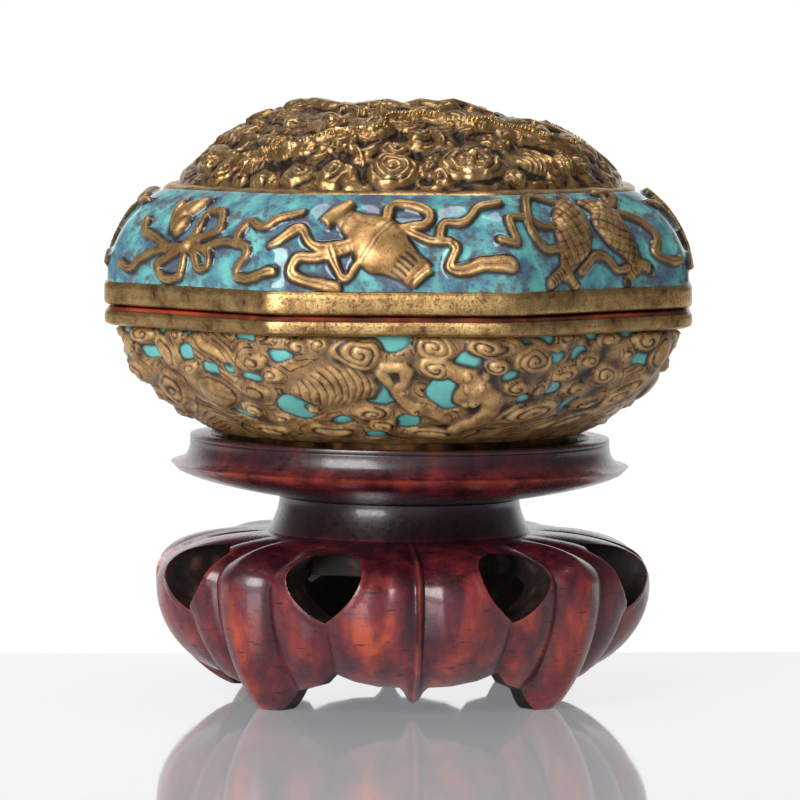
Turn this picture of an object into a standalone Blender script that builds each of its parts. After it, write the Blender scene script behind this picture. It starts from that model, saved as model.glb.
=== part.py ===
"""Seal paste box: a gilt bronze box with eight soft sides and a domed lid, on a carved wooden stand.

The lid rests on the rim of the box, located by the lip that stands up inside it. The foot ring of the
box rests in the recess of the stand's plate, where the box was set down turned a little. The stand is
one turned and carved piece of wood, hollow below, with eight windows between its petals, and it stands
on four feet. Front is -Y.
"""

import math

import bmesh
import bpy
import numpy as np
from mathutils import Matrix

MM = 0.001

# Lid
RIM_ACROSS = 88.0 * MM
LID_BAND_HEIGHT = 3.3 * MM
BAND_STEP = 0.5 * MM
LID_SIDE_RISE = 14.0 * MM
LID_SIDE_SET_IN = 8.3 * MM
DOME_BORDER = 1.7 * MM
DOME_RISE = 11.1 * MM
LID_WALL = 2.6 * MM
LID_RELIEF = 1.8 * MM
DOME_RELIEF = 2.2 * MM

# Box
BOX_BAND_HEIGHT = 2.3 * MM
RED_EDGE_HEIGHT = 0.5 * MM
RED_EDGE_SET_IN = 0.7 * MM
BOWL_DEPTH = 16.6 * MM
BOWL_SET_IN = 2.8 * MM
BOX_WALL = 2.8 * MM
BOX_RELIEF = 1.4 * MM
LIP_HEIGHT = 2.6 * MM
LIP_WALL = 1.6 * MM
LIP_CLEARANCE = 0.4 * MM
FOOT_RING_RADIUS = 27.0 * MM
FOOT_RING_WALL = 2.4 * MM
FOOT_RING_HEIGHT = 2.0 * MM

# How far the box and its lid are turned on the stand, counter-clockwise seen from above
BOX_TURN = math.radians(-5.0)

# Gap between pieces that touch
TOUCH = 0.3 * MM

# Stand
STAND_HEIGHT = 39.5 * MM
PLATE_RIM_RADIUS = 31.9 * MM
PLATE_CREST_RADIUS = 34.8 * MM
PLATE_RIM_HEIGHT = 0.9 * MM
PLATE_FLARE_HEIGHT = 3.4 * MM
PLATE_UNDER_HEIGHT = 4.8 * MM
RECESS_DEPTH = 1.4 * MM
RECESS_CLEARANCE = 1.4 * MM
NECK_RADIUS = 18.3 * MM
NECK_FLARE = 1.8 * MM
LOTUS_HEIGHT = 25.0 * MM
LOTUS_RADIUS = 37.6 * MM
LOTUS_WIDEST_HEIGHT = 18.5 * MM
FOOT_RADIUS = 28.0 * MM
FOOT_PAD = 4.0 * MM
PETAL_TIP_HEIGHT = 1.4 * MM
PETAL_NOTCH_HEIGHT = 6.3 * MM
PETAL_DEPTH = 3.0 * MM
STAND_WALL = 4.2 * MM
HOLLOW_CEILING = 3.6 * MM
WINDOW_WIDTH = 11.6 * MM
WINDOW_HEIGHT = 9.6 * MM
WINDOW_FOOT_HEIGHT = 14.2 * MM
WINDOW_ANGLE = math.radians(24.5)
WINDOW_OVERRUN = 5.0 * MM

SIDES = 8
PETALS = 4
ROUND = 4.0
SOFT_CORNERS = 70.0
DOME_FULLNESS = 2.8
BOWL_TAPER = 2.0
WELL_TAPER = 1.5
SIDE_ANGLE = 2.0 * math.pi / SIDES

# Levels, from the ground up
RECESS_FLOOR = STAND_HEIGHT - RECESS_DEPTH
BOX_FOOT = RECESS_FLOOR + TOUCH
BOWL_BOTTOM = BOX_FOOT + FOOT_RING_HEIGHT
BOWL_TOP = BOWL_BOTTOM + BOWL_DEPTH
BOX_BAND_TOP = BOWL_TOP + BOX_BAND_HEIGHT
BOX_RIM = BOX_BAND_TOP + RED_EDGE_HEIGHT
LID_RIM = BOX_RIM + TOUCH
LID_BAND_TOP = LID_RIM + LID_BAND_HEIGHT
DOME_BASE = LID_BAND_TOP + LID_SIDE_RISE

# Half widths, measured square to the sides
RIM = RIM_ACROSS / 2.0
LID_SIDE_FOOT = RIM - BAND_STEP
LID_SIDE_TOP = LID_SIDE_FOOT - LID_SIDE_SET_IN
DOME_EDGE = LID_SIDE_TOP - DOME_BORDER
BOWL_RIM = RIM - BOWL_SET_IN


def corner_spread(angle, sharpness):
    """How far the outline lies at an angle, for an eight-sided outline whose flats lie at 1."""
    facing = angle[:, None] - np.arange(SIDES)[None, :] * SIDE_ANGLE
    share = np.maximum(np.cos(facing), 0.0) ** sharpness
    flat = np.maximum(np.cos(np.arange(SIDES) * SIDE_ANGLE), 0.0) ** sharpness
    return (flat.sum() / share.sum(axis=1)) ** (1.0 / sharpness)


def around(count):
    """Angles round the axis, the first one facing the front."""
    return np.arange(count) * 2.0 * math.pi / count


def ring(count, half_width, height, sharpness=ROUND):
    """One level outline of the piece as an array of points, front first, turning to +X."""
    angle = around(count)
    radius = half_width * corner_spread(angle, sharpness)
    level = np.full(count, height)
    return np.stack([radius * np.sin(angle), -radius * np.cos(angle), level], axis=1)


def outward(rings):
    """Unit normals of a stack of rings, pointing away from the axis or up."""
    across = np.roll(rings, -1, axis=1) - np.roll(rings, 1, axis=1)
    down = np.gradient(rings, axis=0)
    normal = np.cross(down, across)
    normal /= np.linalg.norm(normal, axis=2, keepdims=True) + 1e-12
    return normal


def material(name, colour, roughness, metallic):
    made = bpy.data.materials.new(name)
    made.use_nodes = True
    shader = made.node_tree.nodes["Principled BSDF"]
    shader.inputs["Base Color"].default_value = (*colour, 1.0)
    shader.inputs["Roughness"].default_value = roughness
    shader.inputs["Metallic"].default_value = metallic
    return made


def closed_piece(name, rings, first_pole, last_pole, finish, turn=0.0):
    """A closed body through the rings, closed by a fan of triangles at each end, turned on the axis."""
    count = len(rings[0])
    body = bmesh.new()
    start = body.verts.new(first_pole)
    rows = [[body.verts.new(point) for point in level] for level in rings]
    end = body.verts.new(last_pole)
    for i in range(count):
        j = (i + 1) % count
        body.faces.new((start, rows[0][i], rows[0][j]))
        body.faces.new((end, rows[-1][j], rows[-1][i]))
        for upper, lower in zip(rows, rows[1:]):
            body.faces.new((upper[i], lower[i], lower[j], upper[j]))
    bmesh.ops.recalc_face_normals(body, faces=body.faces)
    mesh = bpy.data.meshes.new(name)
    body.to_mesh(mesh)
    body.free()
    mesh.transform(Matrix.Rotation(turn, 4, "Z"))
    mesh.materials.append(finish)
    piece = bpy.data.objects.new(name, mesh)
    bpy.context.scene.collection.objects.link(piece)
    return piece


def soften(height):
    """Relief with its steep sides eased over the neighbouring points, round the axis and along it."""
    eased = 0.5 * height + 0.25 * (np.roll(height, 1, axis=1) + np.roll(height, -1, axis=1))
    above = np.vstack([eased[:1], eased[:-1]])
    below = np.vstack([eased[1:], eased[-1:]])
    return 0.5 * eased + 0.25 * (above + below)


def keep_few_faces(piece, share, kept_height=None):
    """Spend the faces where the carving is, and leave what lies below the kept height as it is."""
    fewer = piece.modifiers.new("fewer faces", "DECIMATE")
    fewer.ratio = share
    if kept_height is None:
        return
    group = piece.vertex_groups.new(name="kept")
    kept = [vertex.index for vertex in piece.data.vertices if vertex.co.z < kept_height]
    group.add(kept, 1.0, "REPLACE")
    fewer.vertex_group = group.name
    fewer.invert_vertex_group = True
    fewer.vertex_group_factor = 1000.0


def shade_round(piece, angle):
    piece.data.shade_smooth()
    piece.data.set_sharp_from_angle(angle=math.radians(angle))


def smooth_route(points, steps=8):
    """A smooth curve through a few points, as a finer row of points."""
    points = np.array(points, dtype=float)
    padded = np.vstack([2 * points[0] - points[1], points, 2 * points[-1] - points[-2]])
    route = []
    for a, b, c, d in zip(padded, padded[1:], padded[2:], padded[3:]):
        for t in np.arange(steps) / steps:
            bend = 2 * a - 5 * b + 4 * c - d
            twist = 3 * b - a - 3 * c + d
            route.append(b + 0.5 * t * (c - a + t * (bend + t * twist)))
    route.append(points[-1])
    return np.array(route)


def cord(place, points, half_width):
    """Height of a round cord along a route, 1 at its crest. The half width may taper along it."""
    route = smooth_route(points)
    width = np.interp(np.linspace(0, 1, len(route)), np.linspace(0, 1, np.size(half_width)),
                      np.atleast_1d(half_width))
    height = np.zeros(len(place))
    for a, b, w in zip(route, route[1:], width):
        span = b - a
        share = np.clip((place - a) @ span / (span @ span), 0, 1)
        gap = np.linalg.norm(place - a - share[:, None] * span, axis=1)
        height = np.maximum(height, (1 - np.minimum(gap / w, 1) ** 2) * w / width.max())
    return height


def mound(place, centre, half_length, half_width, tilt=0.0):
    """Height of an oval mound, 1 at its crest. The tilt turns it counter-clockwise, in degrees."""
    turn = math.radians(tilt)
    dx, dy = (place - np.array(centre)).T
    along = (dx * math.cos(turn) + dy * math.sin(turn)) / half_length
    across = (dy * math.cos(turn) - dx * math.sin(turn)) / half_width
    return np.maximum(1 - along ** 2 - across ** 2, 0) ** 0.7


def hoop(place, centre, radius, half_width):
    """Height of a round hoop, 1 at its crest."""
    gap = np.abs(np.linalg.norm(place - np.array(centre), axis=1) - radius)
    return 1 - np.minimum(gap / half_width, 1) ** 2


def highest(*heights):
    return np.maximum.reduce(heights)


# The eight treasures. Places on a side panel are shares of the panel's height, from its middle.
RIBBON = 0.05


def ribbons(place, routes, half_width=RIBBON):
    return highest(*[0.55 * cord(place, route, half_width) for route in routes])


def ribbon_pair(place, routes):
    """The same ribbons on both sides of the treasure."""
    other = place * np.array([-1.0, 1.0])
    return np.maximum(ribbons(place, routes), ribbons(other, routes))


SIDE_RIBBONS = [
    [(0.25, 0.00), (0.42, 0.10), (0.58, 0.00), (0.72, 0.10), (0.80, 0.26), (0.96, 0.30)],
    [(0.50, 0.04), (0.56, -0.14), (0.48, -0.28), (0.64, -0.34), (0.82, -0.26), (0.98, -0.32)],
]


def vase(place):
    """A sealed vase, leaning, with its mouth at the upper left."""
    mouth = np.array([-0.48, 0.21])
    foot = np.array([0.26, -0.38])
    length = np.linalg.norm(foot - mouth)
    axis = (foot - mouth) / length
    along = (place - mouth) @ axis / length
    across = (place - mouth) @ np.array([-axis[1], axis[0]])
    half = np.interp(along, [0.0, 0.12, 0.22, 0.38, 0.52, 0.78, 0.92, 1.0],
                     [0.17, 0.12, 0.16, 0.24, 0.235, 0.14, 0.12, 0.15])
    body = np.sqrt(np.maximum(1 - (across / half) ** 2, 0)) * half / 0.24
    body[(along < 0) | (along > 1)] = 0
    return highest(body, ribbons(place, [
        [(-0.32, -0.06), (-0.54, -0.12), (-0.68, -0.08), (-0.77, 0.05), (-0.90, 0.00), (-1.06, -0.10)],
        [(-0.40, -0.14), (-0.60, -0.19), (-0.80, -0.23), (-0.86, -0.34), (-0.72, -0.42), (-0.49, -0.46)],
        [(-0.54, -0.12), (-0.51, -0.23), (-0.45, -0.36), (-0.37, -0.38), (-0.29, -0.25)],
        [(-0.06, 0.16), (-0.02, 0.29), (0.12, 0.31), (0.31, 0.22), (0.27, 0.10), (0.06, 0.06)],
        [(0.09, 0.05), (0.23, -0.01), (0.37, -0.05), (0.47, -0.07)],
        [(0.38, -0.04), (0.43, 0.09), (0.58, 0.12), (0.65, 0.20), (0.71, 0.29), (0.88, 0.35)],
        [(0.47, -0.07), (0.54, -0.13), (0.48, -0.28), (0.64, -0.30), (0.79, -0.24), (0.99, -0.28)],
    ]))


def pair_of_fish(place):
    """Two fish back to back on a ring, tails down."""
    left = highest(mound(place, (-0.24, 0.04), 0.32, 0.17, 74), 0.5 * cord(
        place, [(-0.36, -0.16), (-0.46, -0.28), (-0.60, -0.40)], (0.09, 0.12)))
    right = highest(mound(place, (0.14, 0.10), 0.34, 0.16, 122), 0.5 * cord(
        place, [(0.26, -0.12), (0.34, -0.24), (0.42, -0.38)], (0.10, 0.13)))
    return highest(0.8 * left, 0.75 * right, 0.55 * hoop(place, (0.30, 0.36), 0.10, RIBBON), ribbons(place, [
        [(-1.10, -0.05), (-0.96, -0.06), (-0.92, 0.17), (-0.75, 0.17), (-0.62, 0.08), (-0.44, 0.06)],
        [(-0.74, 0.16), (-0.64, 0.33), (-0.52, 0.42), (-0.34, 0.33)],
        [(-0.75, 0.14), (-0.74, -0.06), (-0.66, -0.15), (-0.46, -0.13)],
        [(-0.29, -0.33), (-0.12, -0.22), (0.04, -0.24), (0.12, -0.33), (0.26, -0.32)],
        [(0.30, 0.20), (0.47, 0.17), (0.64, 0.07), (0.72, -0.06), (0.65, -0.19), (0.78, -0.28),
         (0.94, -0.28)],
    ]))


def lotus_bow(place):
    """A lotus bud tied with a bow of four loops."""
    return highest(
        0.7 * mound(place, (-0.24, 0.15), 0.20, 0.10, 66), 0.6 * mound(place, (-0.12, 0.24), 0.15, 0.07, 48),
        ribbons(place, [
            [(-0.03, -0.15), (0.04, 0.02), (0.08, 0.19), (0.23, 0.18), (0.29, 0.02), (0.12, -0.06),
             (-0.03, -0.15)],
            [(-0.03, -0.15), (-0.22, -0.24), (-0.38, -0.33), (-0.26, -0.43), (-0.08, -0.42), (-0.04, -0.18)],
            [(-0.03, -0.15), (0.06, -0.22), (0.18, -0.34), (0.28, -0.30), (0.22, -0.18), (-0.03, -0.15)],
            [(0.12, -0.17), (0.40, -0.10), (0.64, -0.12), (0.74, -0.20), (0.65, -0.36), (0.80, -0.41),
             (1.06, -0.32)],
            [(0.58, -0.09), (0.57, 0.03), (0.66, 0.12), (0.84, 0.06), (0.93, 0.15), (1.08, 0.22)],
            [(-0.10, -0.16), (-0.42, -0.20), (-0.62, -0.28), (-0.72, -0.38), (-0.86, -0.32)],
            [(-0.30, -0.16), (-0.48, -0.08), (-0.64, -0.04), (-0.68, 0.08)],
        ]))


def endless_knot(place):
    """Three loops woven each way, standing on a corner."""
    strands = []
    for step in (-0.16, 0.0, 0.16):
        strands.append([(step - 0.2, step + 0.2), (step + 0.2, step - 0.2)])
        strands.append([(step + 0.2, -step + 0.2), (step - 0.2, -step - 0.2)])
    return highest(ribbons(place, strands, 1.1 * RIBBON), ribbon_pair(place, SIDE_RIBBONS))


def wheel(place):
    """A wheel with eight spokes and a round boss."""
    spokes = []
    for k in range(SIDES):
        turn = k * SIDE_ANGLE
        spokes.append([(0.0, 0.0), (0.3 * math.sin(turn), 0.3 * math.cos(turn))])
    return highest(0.8 * mound(place, (0, 0), 0.1, 0.1), 0.7 * hoop(place, (0, 0), 0.28, 0.06),
                   ribbons(place, spokes, 0.8 * RIBBON), ribbon_pair(place, SIDE_RIBBONS))


def conch(place):
    """A conch shell lying on its side."""
    turns = [0.75 * mound(place, (-0.16 + 0.13 * k, 0.02), 0.13, 0.26 - 0.06 * k, 4) for k in range(4)]
    return highest(*turns, 0.6 * cord(place, [(-0.2, -0.1), (-0.34, -0.24), (-0.3, -0.38)], (0.12, 0.05)),
                   ribbon_pair(place, SIDE_RIBBONS))


def parasol(place):
    """A parasol with a scalloped edge on a short pole."""
    dome = 0.8 * mound(place, (0, 0.08), 0.34, 0.3)
    dome[place[:, 1] < 0.06] = 0
    folds = [0.6 * mound(place, (0.13 * k, 0.0), 0.07, 0.11) for k in range(-2, 3)]
    pole = [[(0.0, 0.0), (0.0, -0.42)]]
    return highest(dome, *folds, ribbons(place, pole), ribbon_pair(place, SIDE_RIBBONS))


def banner(place):
    """A victory banner: three hanging tiers under a small roof."""
    tiers = []
    for k in range(3):
        tier = (0.8 - 0.1 * k) * mound(place, (0, 0.26 - 0.2 * k), 0.24 - 0.03 * k, 0.13)
        tiers.append(tier)
    return highest(*tiers, 0.7 * mound(place, (0, -0.36), 0.07, 0.1), ribbon_pair(place, SIDE_RIBBONS))


TREASURES = [vase, pair_of_fish, endless_knot, wheel, conch, parasol, banner, lotus_bow]


def nearest_side(angle):
    return np.round(angle / SIDE_ANGLE).astype(int) % SIDES


def side_relief(points, climb, panel_height):
    """Relief on the side panels, for points whose climb up the panel is known."""
    angle = np.arctan2(points[:, 0], -points[:, 1])
    side = nearest_side(angle)
    turn = side * SIDE_ANGLE
    across = points[:, 0] * np.cos(turn) + points[:, 1] * np.sin(turn)
    place = np.stack([across, climb - panel_height / 2.0], axis=1) / panel_height
    height = np.zeros(len(points))
    for k, treasure in enumerate(TREASURES):
        here = side == k
        height[here] = treasure(place[here])
    return height


def dragon_route():
    """The dragon's back, from its tail to its head, as shares of the dome's half width."""
    return [(-0.84, -0.16), (-0.66, -0.58), (-0.32, -0.72), (0.0, -0.56), (0.28, -0.44), (0.55, -0.46),
            (0.78, -0.28), (0.72, 0.14), (0.42, 0.46), (0.02, 0.50), (-0.34, 0.32), (-0.36, -0.02),
            (-0.10, -0.16), (0.12, -0.06)]


def dome_relief(points):
    """Clouds, a dragon among them and knobs on the crown, for points of the dome."""
    place = points[:, :2] / DOME_EDGE
    height = np.zeros(len(points))
    for radius, size, count, start in ((0.85, 0.125, 18, 0.0), (0.60, 0.10, 13, 0.2), (0.36, 0.09, 8, 0.0),
                                       (0.12, 0.08, 3, 0.5)):
        for k in range(count):
            turn = (k + start) * 2.0 * math.pi / count
            swell = 1.0 + 0.22 * math.sin(5.0 * k + 1.0)
            centre = (radius * math.sin(turn), -radius * math.cos(turn))
            height = np.maximum(height, 0.62 * mound(place, centre, size * swell, size * swell))
    body = cord(place, dragon_route(), (0.03, 0.075, 0.095, 0.1, 0.1, 0.09, 0.08))
    head = mound(place, (0.14, -0.04), 0.15, 0.11, 20)
    knobs = [tall * mound(place, (x, -0.02), 0.07, 0.07)
             for x, tall in ((-0.44, 1.5), (-0.30, 1.1), (-0.06, 0.8), (0.12, 1.1), (0.24, 1.0))]
    return highest(height, 0.9 * body, head, *knobs)


# Clouds on the bowl, in a pattern that goes three times round: degrees from the middle of the
# pattern, then as shares of the bowl's depth the distance below the band, half length, half width,
# and last the tilt in degrees.
CLOUDS = [
    (-55, 0.22, 0.17, 0.09, 80), (-43, 0.12, 0.18, 0.16, 0), (-50, 0.66, 0.22, 0.17, 10),
    (-35, 0.26, 0.10, 0.09, 0), (-28, 0.10, 0.10, 0.08, 0), (-21, 0.14, 0.12, 0.09, 10),
    (-31, 0.52, 0.12, 0.09, 0), (-35, 0.92, 0.13, 0.09, 0), (-9, 0.18, 0.27, 0.13, 8),
    (-12, 0.60, 0.40, 0.20, 10), (-20, 1.02, 0.30, 0.09, 0), (-4, 0.90, 0.22, 0.10, -6),
    (8, 0.12, 0.18, 0.13, 0), (8, 0.36, 0.17, 0.11, 0), (20, 0.13, 0.24, 0.11, 0),
    (1, 0.42, 0.10, 0.13, -30), (17, 0.60, 0.17, 0.15, 0), (9, 0.78, 0.30, 0.12, -32),
    (26, 0.50, 0.12, 0.30, -24), (31, 0.30, 0.15, 0.13, 0), (24, 0.86, 0.26, 0.14, 20),
    (36, 0.60, 0.20, 0.10, 20), (36, 0.86, 0.26, 0.11, 14), (39, 0.08, 0.12, 0.09, 0),
    (47, 0.36, 0.13, 0.12, 0), (50, 0.10, 0.12, 0.09, 0), (48, 0.74, 0.24, 0.11, 24),
    (57, 0.44, 0.16, 0.13, 30), (62, 0.14, 0.15, 0.10, 0), (62, 0.80, 0.22, 0.12, 10),
    (4, 1.08, 0.36, 0.06, 0), (50, 1.10, 0.30, 0.07, 0), (-48, 1.10, 0.30, 0.07, 0),
]
CLOUD_PATTERN_REPEATS = 3


def bowl_relief(points, descent):
    """Clouds and beasts on the bowl, for points whose descent below the band is known."""
    angle = np.arctan2(points[:, 0], -points[:, 1])
    radius = np.hypot(points[:, 0], points[:, 1]) / BOWL_DEPTH
    pattern = 2.0 * math.pi / CLOUD_PATTERN_REPEATS
    height = np.zeros(len(points))
    for degrees, down, half_length, half_width, tilt in CLOUDS:
        turn = angle - math.radians(degrees)
        turn = (turn + pattern / 2.0) % pattern - pattern / 2.0
        place = np.stack([turn * radius, down - descent / BOWL_DEPTH], axis=1)
        swell = 0.6 + 0.4 * min(1.0, half_width / 0.2)
        height = np.maximum(height, swell * mound(place, (0.0, 0.0), half_length, half_width, tilt))
    return height


def quarter(count):
    """Shares of a quarter turn, without its start."""
    return np.arange(1, count + 1) / count


def make_lid():
    """The lid, from the crown of the dome over the border, the side panels and the band to its hollow."""
    count = 48 * SIDES

    def dome_height(share):
        return DOME_BASE + DOME_RISE * (1.0 - share ** DOME_FULLNESS)

    def dome_corners(share):
        return ROUND + (30.0 - ROUND) * share ** 3

    shares = np.linspace(0.012, 1.0, 46)
    dome = np.array([ring(count, DOME_EDGE * share, dome_height(share), dome_corners(share))
                     for share in shares])
    flat = dome.reshape(-1, 3)
    relief = DOME_RELIEF * soften(dome_relief(flat).reshape(len(dome), count))
    fade = np.clip((1.0 - shares) / 0.06, 0.0, 1.0)
    dome = dome + outward(dome) * (relief * fade[:, None])[:, :, None]

    border = []
    for share in quarter(6):
        turn = math.pi * share
        half_width = DOME_EDGE + DOME_BORDER * (1.0 - math.cos(turn)) / 2.0
        height = DOME_BASE + 0.35 * DOME_BORDER * math.sin(turn)
        border.append(ring(count, half_width, height, 34.0))

    side_radius = (LID_SIDE_RISE ** 2 + LID_SIDE_SET_IN ** 2) / (2.0 * LID_SIDE_SET_IN)
    side_sweep = math.asin(LID_SIDE_RISE / side_radius)
    panel_height = side_radius * side_sweep

    def side(offset, share):
        """Half width and height on the side's arc, moved inwards, at a share of the climb."""
        turn = side_sweep * share
        half_width = LID_SIDE_FOOT - side_radius + (side_radius - offset) * math.cos(turn)
        return half_width, LID_BAND_TOP + (side_radius - offset) * math.sin(turn)

    climbs = np.linspace(0.98, 0.0, 40)
    panels = np.array([ring(count, *side(0.0, share), SOFT_CORNERS - 36.0 * share) for share in climbs])
    climb = np.repeat(climbs * panel_height, count)
    relief = soften(side_relief(panels.reshape(-1, 3), climb, panel_height).reshape(len(panels), count))
    panels = panels + outward(panels) * (LID_RELIEF * relief)[:, :, None]

    band = [ring(count, RIM - 0.3 * BAND_STEP, LID_BAND_TOP, SOFT_CORNERS),
            ring(count, RIM, LID_BAND_TOP - BAND_STEP, SOFT_CORNERS),
            ring(count, RIM, LID_RIM + BAND_STEP, SOFT_CORNERS),
            ring(count, RIM - BAND_STEP, LID_RIM, SOFT_CORNERS)]

    socket = LID_SIDE_FOOT - LID_WALL
    hollow = [ring(count, socket, LID_RIM, SOFT_CORNERS), ring(count, socket, LID_BAND_TOP, SOFT_CORNERS)]
    for share in quarter(6):
        hollow.append(ring(count, *side(LID_WALL, share), SOFT_CORNERS - 36.0 * share))
    edge = DOME_EDGE - LID_WALL
    for share in np.linspace(0.94, 0.1, 7):
        hollow.append(ring(count, edge * share, dome_height(share) - LID_WALL, dome_corners(share)))

    rings = [*dome, *border, *panels, *band, *hollow]
    top = (0.0, 0.0, float(dome[0, :, 2].mean()))
    under = (0.0, 0.0, dome_height(0.0) - LID_WALL)
    finish = material("gilt bronze", (0.62, 0.38, 0.13), 0.35, 1.0)
    lid = closed_piece("lid", rings, top, under, finish, BOX_TURN)
    keep_few_faces(lid, 0.052)
    shade_round(lid, 40)
    return lid


def make_box():
    """The box, from the floor of its well over the lip and the bands to the bowl and the foot ring."""
    count = 48 * SIDES
    socket = LID_SIDE_FOOT - LID_WALL
    lip_outer = socket - LIP_CLEARANCE
    well = lip_outer - LIP_WALL
    floor = BOWL_BOTTOM + BOX_WALL
    well_depth = BOWL_TOP - floor
    well_foot = FOOT_RING_RADIUS - BOX_WALL

    def bowl_corners(share):
        return SOFT_CORNERS + (ROUND + 4.0 - SOFT_CORNERS) * share ** 0.5

    hollow = [ring(count, well_foot * share, floor, bowl_corners(1.0)) for share in (0.3, 0.7, 1.0)]
    for share in quarter(8):
        turn = 0.5 * math.pi * share
        half_width = well_foot + (well - well_foot) * math.sin(turn) ** WELL_TAPER
        height = floor + well_depth * (1.0 - math.cos(turn))
        hollow.append(ring(count, half_width, height, bowl_corners(1.0 - share)))
    lip = [ring(count, well, BOX_RIM + LIP_HEIGHT, SOFT_CORNERS),
           ring(count, lip_outer, BOX_RIM + LIP_HEIGHT, SOFT_CORNERS),
           ring(count, lip_outer, BOX_RIM, SOFT_CORNERS)]
    band = [ring(count, RIM - RED_EDGE_SET_IN, BOX_RIM, SOFT_CORNERS),
            ring(count, RIM - 0.6 * RED_EDGE_SET_IN, BOX_BAND_TOP, SOFT_CORNERS),
            ring(count, RIM, BOX_BAND_TOP - 0.2 * BOX_BAND_HEIGHT, SOFT_CORNERS),
            ring(count, RIM, BOWL_TOP + 0.4 * BOX_BAND_HEIGHT, SOFT_CORNERS),
            ring(count, RIM - BAND_STEP, BOWL_TOP, SOFT_CORNERS)]

    shares = np.linspace(0.0, 1.0, 44)
    bowl = []
    for share in shares:
        turn = 0.5 * math.pi * share
        half_width = FOOT_RING_RADIUS + (BOWL_RIM - FOOT_RING_RADIUS) * max(0.0, math.cos(turn)) ** BOWL_TAPER
        bowl.append(ring(count, half_width, BOWL_TOP - BOWL_DEPTH * math.sin(turn), bowl_corners(share)))
    bowl = np.array(bowl)
    descent = np.repeat(shares * BOWL_DEPTH * 0.5 * math.pi, count)
    relief = soften(bowl_relief(bowl.reshape(-1, 3), descent).reshape(len(bowl), count))
    fade = np.clip(shares / 0.03, 0.0, 1.0) * np.clip((1.0 - shares) / 0.22, 0.0, 1.0)
    bowl = bowl + outward(bowl) * (BOX_RELIEF * relief * fade[:, None])[:, :, None]

    inside = FOOT_RING_RADIUS - FOOT_RING_WALL
    foot = [ring(count, FOOT_RING_RADIUS, BOX_FOOT), ring(count, inside, BOX_FOOT),
            ring(count, inside, BOWL_BOTTOM - 0.4 * FOOT_RING_HEIGHT)]
    rings = [*hollow, *lip, *band, *bowl, *foot]
    middle = (0.0, 0.0, floor)
    under = (0.0, 0.0, BOWL_BOTTOM - 0.4 * FOOT_RING_HEIGHT)
    finish = material("gilt bronze and glaze", (0.45, 0.36, 0.16), 0.35, 1.0)
    box = closed_piece("box", rings, middle, under, finish, BOX_TURN)
    keep_few_faces(box, 0.05)
    shade_round(box, 40)
    return box


def petal_swell(angle):
    """How far the petals stand out at each angle, 1 at their crests: a thin spine with a big bulge on
    either side at the front, back and sides, a ridge with a small bulge on either side at the feet."""
    folded = np.degrees(np.abs((angle + math.pi / PETALS) % (2.0 * math.pi / PETALS) - math.pi / PETALS))

    def lobe(centre, half_width, height, power=2.0):
        reach = np.abs(folded - centre) / half_width
        return height * np.maximum(1.0 - reach ** power, 0.0) ** 0.5

    return highest(lobe(0.0, 2.4, 0.9), lobe(12.5, 13.0, 1.0), lobe(30.6, 7.2, 0.78),
                   lobe(45.0, 8.6, 1.05, 1.2))


def lower_edge(angle):
    """Height and half width of the lotus base's lower edge: four feet, four drop-shaped petal tips,
    and a notch where two petals meet."""
    folded = np.degrees(np.abs((angle + math.pi / PETALS) % (2.0 * math.pi / PETALS) - math.pi / PETALS))
    pad = math.degrees(0.5 * FOOT_PAD / FOOT_RADIUS)
    notch = PETAL_NOTCH_HEIGHT
    tip = PETAL_TIP_HEIGHT
    height = np.interp(
        folded, [0.0, 1.5, 4.5, 12.0, 19.0, 24.5, 28.0, 32.0, 36.0, 45.0 - 1.3 * pad, 45.0 - pad, 45.0],
        [tip, 1.2 * tip, 0.62 * notch, 0.68 * notch, 0.8 * notch, notch, 0.7 * notch, 0.6 * notch,
         0.5 * notch, 0.07 * notch, 0.0, 0.0])
    stand_out = np.interp(folded, [0.0, 5.0, 13.0, 24.5, 31.0, 38.0, 45.0],
                          [-0.65, -0.25, 0.0, 0.85, 0.55, 0.3, 0.5])
    return height, FOOT_RADIUS + stand_out * FOOT_PAD


def make_windows(hollow_radius):
    """Cutters for the windows: a rounded heart, point down, run outwards from inside the hollow."""
    body = bmesh.new()
    widest = 0.72
    outline = []
    for share in np.linspace(0.0, 1.0, 9)[1:]:
        outline.append((0.5 * WINDOW_WIDTH * math.sin(0.5 * math.pi * share) ** 0.85, widest * share))
    for share in quarter(5):
        turn = 0.5 * math.pi * share
        up = widest + (1.0 - widest) * math.sin(turn)
        outline.append((0.5 * WINDOW_WIDTH * math.cos(turn) ** 0.5, up))
    outline = [(0.0, 0.0), *outline, *[(-x, up) for x, up in reversed(outline[:-1])]]
    for petal in range(PETALS):
        for hand in (-1.0, 1.0):
            turn = petal * 2.0 * math.pi / PETALS + hand * WINDOW_ANGLE
            out = np.array([math.sin(turn), -math.cos(turn), 0.0])
            across = np.array([math.cos(turn), math.sin(turn), 0.0])
            ends = []
            for radius in (hollow_radius - WINDOW_OVERRUN, LOTUS_RADIUS + WINDOW_OVERRUN):
                shrink = (radius / LOTUS_RADIUS) ** 0.35
                row = []
                for x, up in outline:
                    height = WINDOW_FOOT_HEIGHT + WINDOW_HEIGHT * up
                    row.append(body.verts.new(out * radius + across * x * shrink + np.array([0, 0, height])))
                ends.append(row)
            inner, outer = ends
            body.faces.new(inner)
            body.faces.new(outer)
            for i in range(len(inner)):
                j = (i + 1) % len(inner)
                body.faces.new((inner[i], inner[j], outer[j], outer[i]))
    bmesh.ops.recalc_face_normals(body, faces=body.faces)
    mesh = bpy.data.meshes.new("window cutters")
    body.to_mesh(mesh)
    body.free()
    cutters = bpy.data.objects.new("window_cutters", mesh)
    bpy.context.scene.collection.objects.link(cutters)
    cutters.hide_render = True
    cutters.display_type = "WIRE"
    return cutters


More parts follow.
